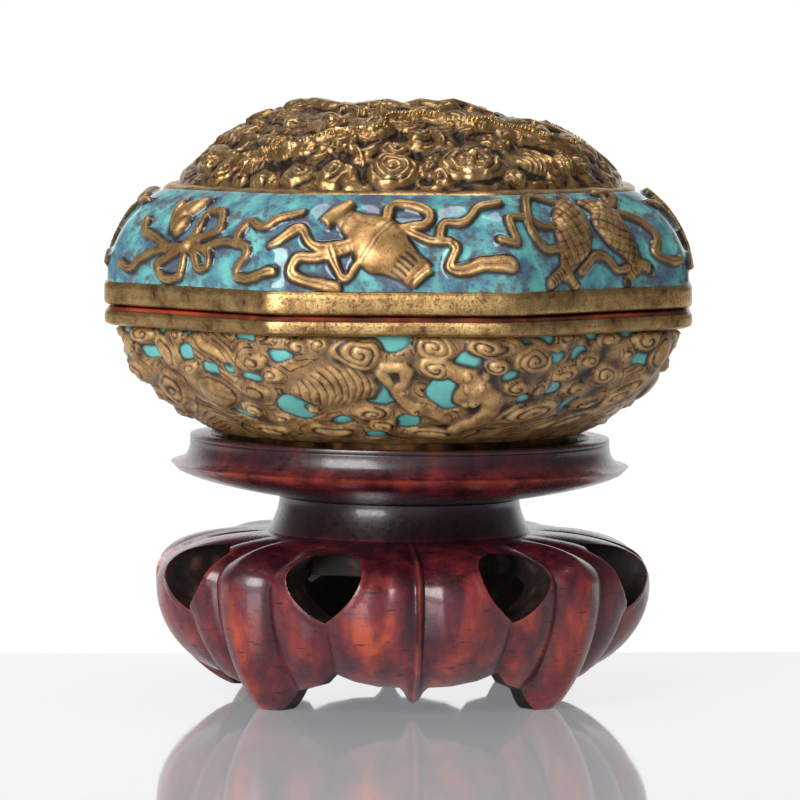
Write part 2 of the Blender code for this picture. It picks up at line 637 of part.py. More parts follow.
def make_stand():
    """The stand, from its plate down the neck and the lotus base to the feet and up its hollow."""
    count = 90 * PETALS
    angle = around(count)
    crest_height = STAND_HEIGHT - PLATE_RIM_HEIGHT - PLATE_FLARE_HEIGHT
    neck_top = crest_height - PLATE_UNDER_HEIGHT
    neck_middle = 0.5 * (neck_top + LOTUS_HEIGHT)

    recess = FOOT_RING_RADIUS + RECESS_CLEARANCE
    plate = [ring(count, 0.5 * recess, RECESS_FLOOR), ring(count, recess, RECESS_FLOOR),
             ring(count, recess + 0.3 * MM, STAND_HEIGHT - 0.3 * MM),
             ring(count, recess + 0.8 * MM, STAND_HEIGHT),
             ring(count, PLATE_RIM_RADIUS - 0.3 * MM, STAND_HEIGHT),
             ring(count, PLATE_RIM_RADIUS, STAND_HEIGHT - 0.3 * MM)]
    for share in np.linspace(0.0, 1.0, 6):
        turn = 0.5 * math.pi * share
        half_width = PLATE_CREST_RADIUS - (PLATE_CREST_RADIUS - PLATE_RIM_RADIUS) * math.cos(turn)
        height = STAND_HEIGHT - PLATE_RIM_HEIGHT - PLATE_FLARE_HEIGHT * math.sin(turn) ** 0.8
        plate.append(ring(count, half_width, height))
    for share in quarter(7):
        half_width = PLATE_CREST_RADIUS - (PLATE_CREST_RADIUS - NECK_RADIUS - 0.4 * MM) * share
        plate.append(ring(count, half_width, crest_height - PLATE_UNDER_HEIGHT * share ** 0.55))
    neck = [ring(count, NECK_RADIUS, 0.6 * neck_top + 0.4 * neck_middle),
            ring(count, NECK_RADIUS, neck_middle)]
    for share in quarter(3):
        flare = NECK_FLARE * share ** 2
        neck.append(ring(count, NECK_RADIUS + flare, neck_middle + (LOTUS_HEIGHT - neck_middle) * share))

    edge_height, edge_radius = lower_edge(angle)
    swell = petal_swell(angle)
    neck_foot = NECK_RADIUS + NECK_FLARE

    def lotus_ring(half_width, height, stand_out, slope):
        """A carved ring: its points sink in between the petals, square to the slope."""
        sink = PETAL_DEPTH * (1.0 - swell) * stand_out
        radius = half_width - sink * math.sin(slope)
        level = height - sink * math.cos(slope)
        return np.stack([radius * np.sin(angle), -radius * np.cos(angle), level + 0.0 * angle], axis=1)

    lotus = []
    top_drop = LOTUS_HEIGHT - LOTUS_WIDEST_HEIGHT
    for share in quarter(12):
        turn = 0.5 * math.pi * share
        half_width = neck_foot + (LOTUS_RADIUS - neck_foot) * math.sin(turn) ** 0.85
        height = LOTUS_WIDEST_HEIGHT + top_drop * math.cos(turn) ** 0.75
        lotus.append(lotus_ring(half_width, height, min(1.0, 2.2 * share), turn))
    for share in quarter(14):
        turn = 0.5 * math.pi * share
        half_width = edge_radius + (LOTUS_RADIUS - edge_radius) * math.cos(turn) ** 1.6
        height = LOTUS_WIDEST_HEIGHT - (LOTUS_WIDEST_HEIGHT - edge_height) * math.sin(turn)
        lotus.append(lotus_ring(half_width, height, 1.0 - 0.55 * share ** 3, 0.5 * math.pi))

    ceiling = LOTUS_HEIGHT - HOLLOW_CEILING
    hollow = []
    inner_edge = edge_radius - FOOT_PAD
    hollow.append(np.stack([inner_edge * np.sin(angle), -inner_edge * np.cos(angle), edge_height], axis=1))
    inner_radius = LOTUS_RADIUS - STAND_WALL - PETAL_DEPTH
    for share in quarter(4):
        turn = 0.5 * math.pi * share
        half_width = inner_edge + (inner_radius - inner_edge) * math.sin(turn)
        start = edge_height + 1.2 * MM
        height = start + (LOTUS_WIDEST_HEIGHT - start) * (share ** 1.2)
        hollow.append(np.stack([half_width * np.sin(angle), -half_width * np.cos(angle), height], axis=1))
    for share in quarter(5)[:-1]:
        turn = 0.5 * math.pi * share
        height = LOTUS_WIDEST_HEIGHT + (ceiling - LOTUS_WIDEST_HEIGHT) * math.sin(turn)
        hollow.append(ring(count, inner_radius * math.cos(turn) ** 0.7, height))

    rings = [*plate, *neck, *lotus, *hollow]
    stand = closed_piece("stand", rings, (0.0, 0.0, RECESS_FLOOR), (0.0, 0.0, ceiling),
                         material("dark red wood", (0.16, 0.028, 0.018), 0.25, 0.0))
    cut = stand.modifiers.new("windows", "BOOLEAN")
    cut.operation = "DIFFERENCE"
    cut.solver = "EXACT"
    cut.object = make_windows(inner_radius)
    keep_few_faces(stand, 0.068, 0.05 * MM)
    shade_round(stand, 40)
    return stand


for old in list(bpy.data.objects):
    bpy.data.objects.remove(old, do_unlink=True)

make_lid()
make_box()
make_stand()
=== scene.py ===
import math

import bmesh
import bpy
import numpy as np
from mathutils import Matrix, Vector


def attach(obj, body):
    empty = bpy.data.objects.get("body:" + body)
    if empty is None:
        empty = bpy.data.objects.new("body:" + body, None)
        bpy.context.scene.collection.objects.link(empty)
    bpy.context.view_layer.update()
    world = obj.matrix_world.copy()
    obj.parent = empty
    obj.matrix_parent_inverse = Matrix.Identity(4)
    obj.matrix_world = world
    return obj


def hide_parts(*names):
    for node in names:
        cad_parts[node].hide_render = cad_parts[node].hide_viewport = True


# Seal paste box on its carved stand. Sizes are in millimetres, turned to metres where a mesh is made.
# Front is -Y. Angles run from the front round to +X.
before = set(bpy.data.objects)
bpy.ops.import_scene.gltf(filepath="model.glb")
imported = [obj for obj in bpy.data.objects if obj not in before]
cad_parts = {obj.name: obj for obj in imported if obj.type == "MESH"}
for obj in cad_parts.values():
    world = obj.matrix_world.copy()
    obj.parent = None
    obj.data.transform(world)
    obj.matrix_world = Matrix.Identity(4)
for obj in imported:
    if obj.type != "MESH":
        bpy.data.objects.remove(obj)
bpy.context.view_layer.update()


# ---------------------------------------------------------------------------------------------
# The stand. One block of hardwood, turned to a plate on a waisted neck and carved below into a
# lotus with eight heart-shaped windows, whose petals curl under between four feet. It is stained
# red and lacquered, with painted shade in its grooves, under its plate and inside its windows.

STAND_HEIGHT = 39.5
PLATE_RIM_RADIUS = 31.9
PLATE_CREST_RADIUS = 34.8
PLATE_RIM_HEIGHT = 0.9
PLATE_FLARE_HEIGHT = 3.4
PLATE_UNDER_HEIGHT = 4.8
RECESS_DEPTH = 1.4
RECESS_RADIUS = 28.4
NECK_RADIUS = 18.3
NECK_FLARE = 1.8
LOTUS_HEIGHT = 25.0
LOTUS_RADIUS = 37.6
LOTUS_WIDEST_HEIGHT = 18.5
FOOT_RADIUS = 28.0
FOOT_PAD = 4.0
PETAL_TIP_HEIGHT = 1.4
PETAL_NOTCH_HEIGHT = 6.3
PETAL_DEPTH = 3.0
PETALS = 4
STAND_WALL = 4.2
HOLLOW_CEILING = 3.6
WINDOW_WIDTH = 11.6
WINDOW_HEIGHT = 9.6
WINDOW_FOOT_HEIGHT = 14.2
WINDOW_WIDEST = 0.72
WINDOW_LIP = 0.32
PLATE_LEAN = math.tan(math.radians(0.5))
NECK_SHADE_TOP = 32.4
STAND_COLUMNS = 560
STAND_LEVELS = 126
MM = 0.001
FAR = 9.0  # out of reach of any edge or line


def around(count):
    """Angles round the axis, the first one facing the front."""
    return np.arange(count) * 2.0 * math.pi / count


def round_ring(angle, radius, height):
    """Points at these angles, each at its own radius and height or all at the same."""
    return np.stack([radius * np.sin(angle), -radius * np.cos(angle), height + 0.0 * angle], axis=1)


def steps(count):
    """Shares from just above nothing to the whole."""
    return np.arange(1, count + 1) / count


def quarter(count):
    """Shares of a quarter turn, from just above nothing to the whole, each with its angle."""
    return [(share, 0.5 * math.pi * share) for share in steps(count)]


def bell(distance, width):
    """1 at no distance, gone a few widths away."""
    return np.exp(-(distance / width) ** 2)


def part_of(value, span):
    """The part of a span that a value covers, from 0 to 1."""
    return np.clip(value / span, 0.0, 1.0)


def domed(out, power=2, fullness=0.5):
    """Height of a swelling, 1 at its middle and nothing at its edge, where out is 1."""
    return np.maximum(1.0 - out ** power, 0.0) ** fullness


def body_through(rings, poles=None, whole=True):
    """Points and faces of a closed body through rings of points, which run down its outside and back
    up inside. Two poles close its ends, or else the last ring joins the first. A body that isn't
    whole stops at the first and the last point of its rings, and is capped there."""
    rings = np.asarray(rings, dtype=float)
    rows, count = rings.shape[:2]
    index = np.arange(rows * count).reshape(rows, count)
    upper, lower = (index[:-1], index[1:]) if poles is not None else (index, np.roll(index, -1, axis=0))
    quads = np.stack([upper, lower, np.roll(lower, -1, axis=1), np.roll(upper, -1, axis=1)], axis=2)
    if not whole:
        quads = quads[:, :-1]
    points = rings.reshape(-1, 3)
    faces = quads.reshape(-1, 4).tolist()
    if poles is not None:
        points = np.vstack([points, poles])
        start, end = rows * count, rows * count + 1
        for i in range(count):
            j = (i + 1) % count
            faces.append((start, i, j))
            faces.append((end, int(index[-1, j]), int(index[-1, i])))
    if not whole:
        faces.append(index[::-1, 0].tolist())
        faces.append(index[:, -1].tolist())
    return points, faces


def piece_of(name, points, faces, sharp_angle=50.0):
    """A piece made of points in millimetres and faces, shaded smooth up to an angle in degrees."""
    mesh = bpy.data.meshes.new(name)
    mesh.from_pydata((np.asarray(points) * MM).tolist(), [], faces)
    mesh.shade_smooth()
    mesh.set_sharp_from_angle(angle=math.radians(sharp_angle))
    piece = bpy.data.objects.new(name, mesh)
    bpy.context.scene.collection.objects.link(piece)
    return piece


def note(piece, name, values):
    """Keeps one number for each point of the piece, for its material to read."""
    attribute = piece.data.attributes.new(name, "FLOAT", "POINT")
    attribute.data.foreach_set("value", np.asarray(values, dtype=np.float32))


def distance_to(x, y, route, square=False):
    """Distance from points to a route, with the share of the way along it, the side it lies on and
    the route's length. A square route ends flat instead of round."""
    gap = np.full(len(x), 1e9)
    along = np.zeros(len(x))
    side = np.zeros(len(x))
    lengths = np.hypot(*np.diff(route, axis=0).T)
    travelled = 0.0
    for (ax, ay), (bx, by), length in zip(route, route[1:], lengths):
        ux, uy = (bx - ax) / length, (by - ay) / length
        share = np.clip((x - ax) * ux + (y - ay) * uy, 0.0, length)
        off = (y - ay) * ux - (x - ax) * uy
        here = np.hypot(x - ax - share * ux, y - ay - share * uy)
        closer = here < gap
        gap[closer] = here[closer]
        along[closer] = travelled + share[closer]
        side[closer] = off[closer]
        travelled += length
    along /= travelled
    if square:
        for (ax, ay), (bx, by), at_end in ((route[0], route[1], along < 0.3),
                                           (route[-1], route[-2], along > 0.7)):
            gap[at_end & ((x - ax) * (bx - ax) + (y - ay) * (by - ay) < 0.0)] = 1e9
    return gap, along, side, travelled


# Degrees round the stand: where the carver meant to cut, and where the cut came out.
MEANT = [-180.0, -155.5, -135.0, -114.5, -90.0, -65.5, -45.0, -24.5, 0.0, 24.5, 45.0, 65.5, 90.0, 114.5,
         135.0, 155.5, 180.0]
CARVED = [-180.0, -156.5, -135.0, -115.0, -91.0, -64.5, -45.0, -21.4, 1.4, 24.9, 45.0, 66.5, 91.0, 114.0,
          135.0, 157.0, 180.0]


def as_meant(angle):
    """The angle in the plan of the carving for an angle on the stand, which is cut by eye."""
    degrees = (np.degrees(angle) + 180.0) % 360.0 - 180.0
    return np.radians(np.interp(degrees, CARVED, MEANT))


def from_spine(angle):
    """Degrees from the spine of the nearest petal: there is one at the front, back and sides."""
    return np.degrees((angle + math.pi / PETALS) % (2.0 * math.pi / PETALS) - math.pi / PETALS)


def petal_swell(angle):
    """How far the petals stand out, 1 at their crests: a thin spine with a big bulge on either side
    at the front, back and sides, and a ridge with a small bulge on either side at the feet. The gouge
    left two shallow furrows beside each spine."""
    signed = from_spine(angle)
    furrows = 0.12 * bell(signed + 8.4, 2.0) + 0.08 * bell(signed - 3.0, 1.5)

    def lobe(centre, half_width, height, power=2.0):
        return height * domed(np.abs(np.abs(signed) - centre) / half_width, power)

    return np.maximum.reduce([lobe(0.0, 1.1, 0.84), lobe(12.5, 13.0, 1.0), lobe(30.6, 7.2, 0.78),
                              lobe(45.0, 8.6, 1.05, 1.2)]) - furrows


def petal_edge(angle):
    """Height and radius of the lower edge: four feet, four petal tips and notches between them."""
    folded = np.abs(from_spine(angle))
    pad = math.degrees(0.5 * FOOT_PAD / FOOT_RADIUS)
    notch, tip = PETAL_NOTCH_HEIGHT, PETAL_TIP_HEIGHT
    height = np.interp(folded, [0.0, 1.0, 2.0, 3.2, 4.8, 12.0, 19.0, 24.5, 28.0, 32.0, 36.0,
                                45.0 - 1.3 * pad, 45.0 - pad, 45.0],
                       [tip, 1.05 * tip, 1.35 * tip, 0.48 * notch, 0.62 * notch, 0.66 * notch, 0.8 * notch,
                        notch, 0.7 * notch, 0.6 * notch, 0.5 * notch, 0.07 * notch, 0.0, 0.0])
    stand_out = np.interp(folded, [0.0, 5.0, 13.0, 24.5, 31.0, 38.0, 45.0],
                          [-0.65, -0.25, 0.0, 0.85, 0.55, 0.3, 0.5])
    return height, FOOT_RADIUS + stand_out * FOOT_PAD


def heart_outline():
    """The window's outline, point down, from its point round its right and left sides."""
    right = []
    for share, turn in quarter(10):
        right.append((0.5 * WINDOW_WIDTH * math.sin(turn) ** 0.85, WINDOW_WIDEST * share))
    for _, turn in quarter(8):
        right.append((0.5 * WINDOW_WIDTH * math.cos(turn) ** 0.5,
                      WINDOW_WIDEST + (1.0 - WINDOW_WIDEST) * math.sin(turn)))
    outline = [(0.0, 0.0), *right, *[(-x, up) for x, up in reversed(right[:-1])]]
    return np.array([(x, WINDOW_FOOT_HEIGHT + WINDOW_HEIGHT * up) for x, up in outline])


window_angles = [math.radians(carved) for meant, carved in zip(MEANT, CARVED) if meant % 45.0]


def from_window(points):
    """Distance from the outline of the nearest window, for points of the lotus."""
    angle = np.arctan2(points[:, 0], -points[:, 1])
    radius = np.hypot(points[:, 0], points[:, 1])
    outline = heart_outline()
    outline = np.vstack([outline, outline[:1]])
    gap = np.full(len(points), FAR)
    for centre in window_angles:
        over = ((angle - centre + math.pi) % (2.0 * math.pi) - math.pi) * radius
        near = np.flatnonzero(np.abs(over) < 0.5 * WINDOW_WIDTH + 3.0)
        here = distance_to(over[near], points[near, 2], outline)[0]
        gap[near] = np.minimum(gap[near], here)
    return gap


def lotus_ring(angle, swell, radius, height, stand_out, slope):
    """A carved ring: its points sink in between the petals, square to the slope."""
    sink = PETAL_DEPTH * (1.0 - swell) * stand_out
    return round_ring(angle, radius - sink * math.sin(slope), height - sink * math.cos(slope))


angle = around(STAND_COLUMNS)
crest_height = STAND_HEIGHT - PLATE_RIM_HEIGHT - PLATE_FLARE_HEIGHT
neck_top = crest_height - PLATE_UNDER_HEIGHT
neck_middle = 0.5 * (neck_top + LOTUS_HEIGHT)
recess_floor = STAND_HEIGHT - RECESS_DEPTH
rings = [round_ring(angle, RECESS_RADIUS * share, recess_floor) for share in (0.4, 0.8, 1.0)]
for outset, drop in ((0.1, 0.9), (0.3, 0.3), (0.5, 0.08), (0.8, 0.0), (1.4, 0.02), (2.0, 0.0), (2.9, 0.0)):
    rings.append(round_ring(angle, RECESS_RADIUS + outset, STAND_HEIGHT - drop))
for inset, drop in ((0.08, 0.06), (0.0, 0.22), (0.0, 0.55), (0.12, 0.68), (0.0, 0.82)):
    rings.append(round_ring(angle, PLATE_RIM_RADIUS - inset, STAND_HEIGHT - drop))
for share in np.linspace(0.0, 1.0, 19):
    turn = 0.5 * math.pi * share
    radius = PLATE_CREST_RADIUS - (PLATE_CREST_RADIUS - PLATE_RIM_RADIUS) * math.cos(turn)
    rings.append(round_ring(angle, radius, STAND_HEIGHT - PLATE_RIM_HEIGHT
                            - PLATE_FLARE_HEIGHT * math.sin(turn) ** 0.8))
for share in steps(15):
    radius = PLATE_CREST_RADIUS - (PLATE_CREST_RADIUS - NECK_RADIUS - 0.4) * share
    rings.append(round_ring(angle, radius, crest_height - PLATE_UNDER_HEIGHT * share ** 0.55))
for share in (0.1, 0.25):
    rings.append(round_ring(angle, NECK_RADIUS, neck_top + (neck_middle - neck_top) * share))
for share in steps(12):
    start = neck_top + 0.25 * (neck_middle - neck_top)
    rings.append(round_ring(angle, NECK_RADIUS + NECK_FLARE * share ** 1.7,
                            start + (LOTUS_HEIGHT - start) * share))

edge_height, edge_radius = petal_edge(as_meant(angle))
swell = petal_swell(as_meant(angle))
neck_foot = NECK_RADIUS + NECK_FLARE
plan = np.degrees(as_meant(angle))
fuller = bell(np.abs((plan + 45.0) % 90.0 - 45.0) - 9.0, 8.0)
widest = LOTUS_WIDEST_HEIGHT - 1.5 * fuller
lotus_radius = LOTUS_RADIUS + 0.8 * bell(plan - 90.0, 40.0)
lotus = []
for share, turn in quarter(30):
    radius = neck_foot + (lotus_radius - neck_foot) * math.sin(turn) ** 0.85
    height = widest + (LOTUS_HEIGHT - widest) * max(0.0, math.cos(turn)) ** (0.75 + 0.05 * fuller)
    lotus.append(lotus_ring(angle, swell, radius, height, min(1.0, 2.2 * share), turn))
for share, turn in quarter(42):
    radius = edge_radius + (lotus_radius - edge_radius) * max(0.0, math.cos(turn)) ** (1.6 - 0.2 * fuller)
    height = widest - (widest - edge_height) * math.sin(turn)
    lotus.append(lotus_ring(angle, swell, radius, height, 1.0 - 0.55 * share ** 3, 0.5 * math.pi))
lotus = np.array(lotus)
flat = lotus.reshape(-1, 3)
lip = WINDOW_LIP * bell(from_window(flat) - 0.4, 0.45)
out = flat * np.array([1.0, 1.0, 0.0])
flat += out / np.linalg.norm(out, axis=1, keepdims=True) * lip[:, None]
rings.extend(lotus)

inner_edge = edge_radius - 0.85 * FOOT_PAD
inner_radius = LOTUS_RADIUS - STAND_WALL - PETAL_DEPTH
ceiling = LOTUS_HEIGHT - HOLLOW_CEILING
rings.append(round_ring(angle, inner_edge, edge_height))
for share, turn in quarter(6):
    start = edge_height + 1.2
    radius = inner_edge + (inner_radius - inner_edge) * math.sin(turn)
    rings.append(round_ring(angle, radius, start + (LOTUS_WIDEST_HEIGHT - start) * share ** 1.2))
for _, turn in quarter(6)[:-1]:
    rings.append(round_ring(angle, inner_radius * math.cos(turn) ** 0.7,
                            LOTUS_WIDEST_HEIGHT + (ceiling - LOTUS_WIDEST_HEIGHT) * math.sin(turn)))
rings = np.array(rings)
rings[:, :, 2] -= PLATE_LEAN * rings[:, :, 0] * np.clip((rings[:, :, 2] - LOTUS_HEIGHT) / 4.0, 0.0, 1.0)
stand = piece_of("carved_stand", *body_through(rings, [(0, 0, recess_floor), (0, 0, ceiling)]))

cutter = bmesh.new()
for turn in window_angles:
    out = np.array([math.sin(turn), -math.cos(turn), 0.0])
    across = np.array([math.cos(turn), math.sin(turn), 0.0])
    ends = []
    for radius, narrowing in ((inner_radius - 5.0, 0.96), (LOTUS_RADIUS + 5.0, 1.03)):
        ends.append([cutter.verts.new((out * radius + across * x * narrowing + np.array([0, 0, up])) * MM)
                     for x, up in heart_outline()])
    cutter.faces.new(ends[0])
    cutter.faces.new(ends[1])
    for i in range(len(ends[0])):
        j = (i + 1) % len(ends[0])
        cutter.faces.new((ends[0][i], ends[0][j], ends[1][j], ends[1][i]))
bmesh.ops.recalc_face_normals(cutter, faces=cutter.faces)
cutter_mesh = bpy.data.meshes.new("window cutters")
cutter.to_mesh(cutter_mesh)
cutter.free()
cutters = bpy.data.objects.new("window_cutters", cutter_mesh)
bpy.context.scene.collection.objects.link(cutters)
cut = stand.modifiers.new("windows", "BOOLEAN")
cut.operation = "DIFFERENCE"
cut.solver = "MANIFOLD"
cut.object = cutters


def as_plain_mesh(piece):
    """The piece as its modifiers leave it, with the modifiers gone."""
    made = bpy.data.meshes.new_from_object(piece.evaluated_get(bpy.context.evaluated_depsgraph_get()))
    piece.modifiers.clear()
    piece.data = made
    return piece


as_plain_mesh(stand)
bpy.data.objects.remove(cutters, do_unlink=True)
stand.data.set_sharp_from_angle(angle=math.radians(50.0))


def linear(code):
    """An sRGB hex colour as linear red, green, blue and alpha."""
    parts = [int(code[k:k + 2], 16) / 255.0 for k in (1, 3, 5)]
    return (*[c / 12.92 if c <= 0.04045 else ((c + 0.055) / 1.055) ** 2.4 for c in parts], 1.0)


def add(tree, kind, inputs=(), stops=(), **settings):
    """Adds a node with its settings and links. Its inputs come by name or in their own order. A node
    stands for its first output and a hex code for its colour; what is no output is set as a value."""
    node = tree.nodes.new(kind)
    for name, value in settings.items():
        setattr(node, name, value)
    if stops:
        ramp = node.color_ramp.elements
        ramp.remove(ramp[1])
        ramp[0].position, ramp[0].color = stops[0][0], linear(stops[0][1])
        for place, colour in stops[1:]:
            ramp.new(place).color = linear(colour)
    named = isinstance(inputs, dict)
    sockets = [node.inputs[name] for name in inputs] if named else [s for s in node.inputs if s.enabled]
    for socket, value in zip(sockets, inputs.values() if named else inputs):
        if isinstance(value, bpy.types.Node):
            value = next(output for output in value.outputs if output.enabled)
        if isinstance(value, bpy.types.NodeSocket):
            tree.links.new(value, socket)
        else:
            socket.default_value = linear(value) if isinstance(value, str) else value
    return node


def begin(name):
    """A new material, its node tree, still empty, and where a point of the piece lies."""
    made = bpy.data.materials.new(name)
    made.use_nodes = True
    made.node_tree.nodes.clear()
    return made, made.node_tree, add(made.node_tree, "ShaderNodeTexCoord").outputs["Object"]


def per_metre(size):
    """Scale of a noise whose patches are this many millimetres across."""
    return 1.0 / (size * MM)


# Where inputs come in their own order, a noise has its place, scale, detail and roughness, a map range
# its value, the ends it comes from and the ends it goes to, and a mix its share and its two sides.

# Hardwood, stained and lacquered: deep red where the polish has worn thin, with painted shade near
# black in the grooves and under the plate, short dark pores along the grain and a wet shine that
# breaks up on the grain.
wood, tree, place = begin("lacquered red hardwood")
shade, ridge, rubbed = [add(tree, "ShaderNodeAttribute", attribute_name=noted).outputs["Fac"]
                        for noted in ("shade", "ridge", "rubbed")]
tall_place = add(tree, "ShaderNodeMapping", {"Vector": place, "Scale": (1.0, 1.0, 0.45)})
figure = add(tree, "ShaderNodeTexNoise", (tall_place, per_metre(4.2), 6.0, 0.6))
figured = add(tree, "ShaderNodeMath", (rubbed, 0.13, figure), operation="MULTIPLY_ADD")
stain = add(tree, "ShaderNodeValToRGB", {"Fac": figured}, stops=[
    (0.34, "#280a12"), (0.46, "#461320"), (0.57, "#631e26"), (0.68, "#832b26"), (0.80, "#a8452a")])
along_grain = add(tree, "ShaderNodeMapping", {"Vector": place, "Scale": (0.16, 0.16, 1.0)})
pores = add(tree, "ShaderNodeTexNoise", (along_grain, per_metre(0.42), 2.0))
pore = add(tree, "ShaderNodeMapRange", (pores, 0.62, 0.70, 0.0, 0.85))
stained = add(tree, "ShaderNodeMix", (pore, stain, "#1a0507"), data_type="RGBA")
bare = add(tree, "ShaderNodeMapRange", (figure, 0.36, 0.58, 0.2, 1.0))
bare = add(tree, "ShaderNodeMath", (bare, ridge), operation="MULTIPLY")
lit = add(tree, "ShaderNodeMix", (bare, stained, "#b04a24"), data_type="RGBA")
# Painted shade: the shade note turns the wood towards near black.
dark = add(tree, "ShaderNodeMix", (shade, lit, "#1c0a0f"), data_type="RGBA")
polish = add(tree, "ShaderNodeTexNoise", (place, per_metre(0.7), 3.0))
rough = add(tree, "ShaderNodeMapRange", (polish, 0.3, 0.7, 0.24, 0.4))
brushed = add(tree, "ShaderNodeMapping", {"Vector": place, "Scale": (1.0, 1.0, 0.25)})
fine = add(tree, "ShaderNodeTexNoise", (brushed, per_metre(0.3), 3.0))
bump = add(tree, "ShaderNodeBump", {"Height": fine, "Strength": 0.5, "Distance": 0.03 * MM})
shader = add(tree, "ShaderNodeBsdfPrincipled", {"Base Color": dark, "Roughness": rough,
                                                "Coat Weight": 0.35, "Coat Roughness": 0.12,
                                                "Normal": bump})
add(tree, "ShaderNodeOutputMaterial", {"Surface": shader})

# The same wood left rough from the gouge inside the windows and the hollow, in painted shade: near
# black, dull.
painted_shade_wood, tree, place = begin("rough hardwood in painted shade")
cuts = add(tree, "ShaderNodeTexNoise", (place, per_metre(3.0), 5.0))
black = add(tree, "ShaderNodeValToRGB", {"Fac": cuts}, stops=[
    (0.42, "#120b0a"), (0.56, "#241612"), (0.72, "#4a342b")])
bump = add(tree, "ShaderNodeBump", {"Height": cuts, "Strength": 0.8, "Distance": 0.3 * MM})
shader = add(tree, "ShaderNodeBsdfPrincipled", {"Base Color": black, "Roughness": 0.65,
                                                "Specular IOR Level": 0.25, "Normal": bump})
add(tree, "ShaderNodeOutputMaterial", {"Surface": shader})

# How deep each point lies behind the carved face, where it is worn bright, and where painted shade
# darkens it.
points = np.empty(len(stand.data.vertices) * 3, dtype=np.float32)
stand.data.vertices.foreach_get("co", points)
points = points.reshape(-1, 3).astype(float) / MM
turn = np.arctan2(points[:, 0], -points[:, 1])
radius = np.hypot(points[:, 0], points[:, 1])
level = points[:, 2]
heights = np.linspace(0.0, LOTUS_HEIGHT, STAND_LEVELS)
surface = np.array([np.interp(heights, column[::-1, 2], np.hypot(*column[::-1, :2].T))
                    for column in lotus.transpose(1, 0, 2)])
column = np.round(turn / (2.0 * math.pi) * len(angle)).astype(int) % len(angle)
row = np.clip(np.round(level / heights[1]), 0, STAND_LEVELS - 1).astype(int)
depth = np.where(level < LOTUS_HEIGHT - 1.0, surface[column, row] - radius, 0.0)
meant = as_meant(turn)
folded = np.abs(from_spine(meant))
swelled = petal_swell(meant)
on_lotus = part_of(LOTUS_HEIGHT + 0.6 - level, 1.6)
groove = (1.0 - part_of(swelled, 0.72)) * on_lotus
upper_lotus = part_of(level - 19.5, 5.0) * on_lotus
neck_dark = part_of(NECK_SHADE_TOP - level, 1.6) * (1.0 - on_lotus)
flare_dark = part_of(level - crest_height - 0.7, 1.2)
# Painted shade: darker in the grooves between the petals, on the neck and the upper petals under the plate,
# and darker on the plate's flare.
painted_shade = np.maximum.reduce([0.62 * groove, 0.95 * neck_dark, 0.75 * flare_dark, 0.5 * upper_lotus])
spine = bell(folded, 0.5) * part_of(24.5 - level, 2.0)
foot_ridge = 0.4 * bell(folded - 45.0, 1.1) * (level < 20.0)
window_edge = 0.45 * bell(from_window(points), 0.35) * (radius > 31.0)
plate_crest = 0.7 * bell(level + PLATE_LEAN * points[:, 0] - crest_height, 0.2) * (radius > 34.0)
edge = np.maximum(np.maximum.reduce([spine, foot_ridge, window_edge]) * on_lotus, plate_crest)
note(stand, "shade", painted_shade * (1.0 - edge))
note(stand, "ridge", np.clip(edge, 0.0, 1.0) * 0.85)
note(stand, "rubbed", on_lotus * part_of(swelled, 1.0) ** 2 * part_of(20.0 - level, 6.0))
stand.data.materials.clear()
stand.data.materials.append(wood)
stand.data.materials.append(painted_shade_wood)
# Faces more than a millimetre behind the carved face take the rough wood's painted shade.
for face in stand.data.polygons:
    if max(depth[v] for v in face.vertices) > 1.0:
        face.material_index = 1
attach(stand, "root")
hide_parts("stand")


# ---------------------------------------------------------------------------------------------
# The bowl of the box. Cast in bronze: clouds and sea beasts stand out in low relief, chased with
# fine flow lines and fire-gilt, and turquoise glaze fills the small fields sunk between them. The
# wall is one casting; it is made here as two halves that meet at the sides.

SIDES = 8
SIDE_ANGLE = 2.0 * math.pi / SIDES
BOX_TURN = math.radians(-5.0)
RIM = 44.0
BOWL_RIM = 41.2
BOWL_TOP = 57.0
BOWL_DEPTH = 16.6
BOWL_TAPER = 2.0
FOOT_RING_RADIUS = 27.0
FOOT_RING_WALL = 2.4
BOX_FOOT = 38.4
SOFT_CORNERS = 70.0
FOOT_CORNERS = 8.0
BARE_METAL = 5.0  # this far inside the gilding's edge
BOX_RELIEF = 1.4
SKIN = 1.5
WIDEST = 45.27


def corner_spread(angle, sharpness):
    """How far the outline lies at an angle, for an eight-sided outline whose flats lie at 1."""
    facing = angle[:, None] - np.arange(SIDES)[None, :] * SIDE_ANGLE
    share = np.maximum(np.cos(facing), 0.0) ** sharpness
    flat = np.maximum(np.cos(np.arange(SIDES) * SIDE_ANGLE), 0.0) ** sharpness
    return (flat.sum() / share.sum(axis=1)) ** (1.0 / sharpness)


def soft_ring(angle, half_width, height, sharpness=SOFT_CORNERS):
    """One level of an eight-sided body."""
    return round_ring(angle, half_width * corner_spread(angle, sharpness), height)


def bowl_corners(share):
    """Sharpness of the bowl's corners, which fade from the band down to the foot."""
    return SOFT_CORNERS + (FOOT_CORNERS - SOFT_CORNERS) * share ** 0.5


def outward(rings, whole=True):
    """Unit normals of a stack of rings, pointing away from the axis or up."""
    across = (np.roll(rings, -1, axis=1) - np.roll(rings, 1, axis=1)) if whole else np.gradient(rings, axis=1)
    normal = np.cross(np.gradient(rings, axis=0), across)
    return normal / (np.linalg.norm(normal, axis=2, keepdims=True) + 1e-12)


def turned(points):
    """Points of the box or its lid as they stand on the stand, turned a little. None of them reaches
    past the corners of the rims."""
    x, y, z = np.asarray(points, dtype=float).T
    cosine, sine = math.cos(BOX_TURN), math.sin(BOX_TURN)
    across, along = x * cosine - y * sine, x * sine + y * cosine
    return np.stack([np.clip(across, -WIDEST, WIDEST), np.clip(along, -WIDEST, WIDEST), z], axis=1)


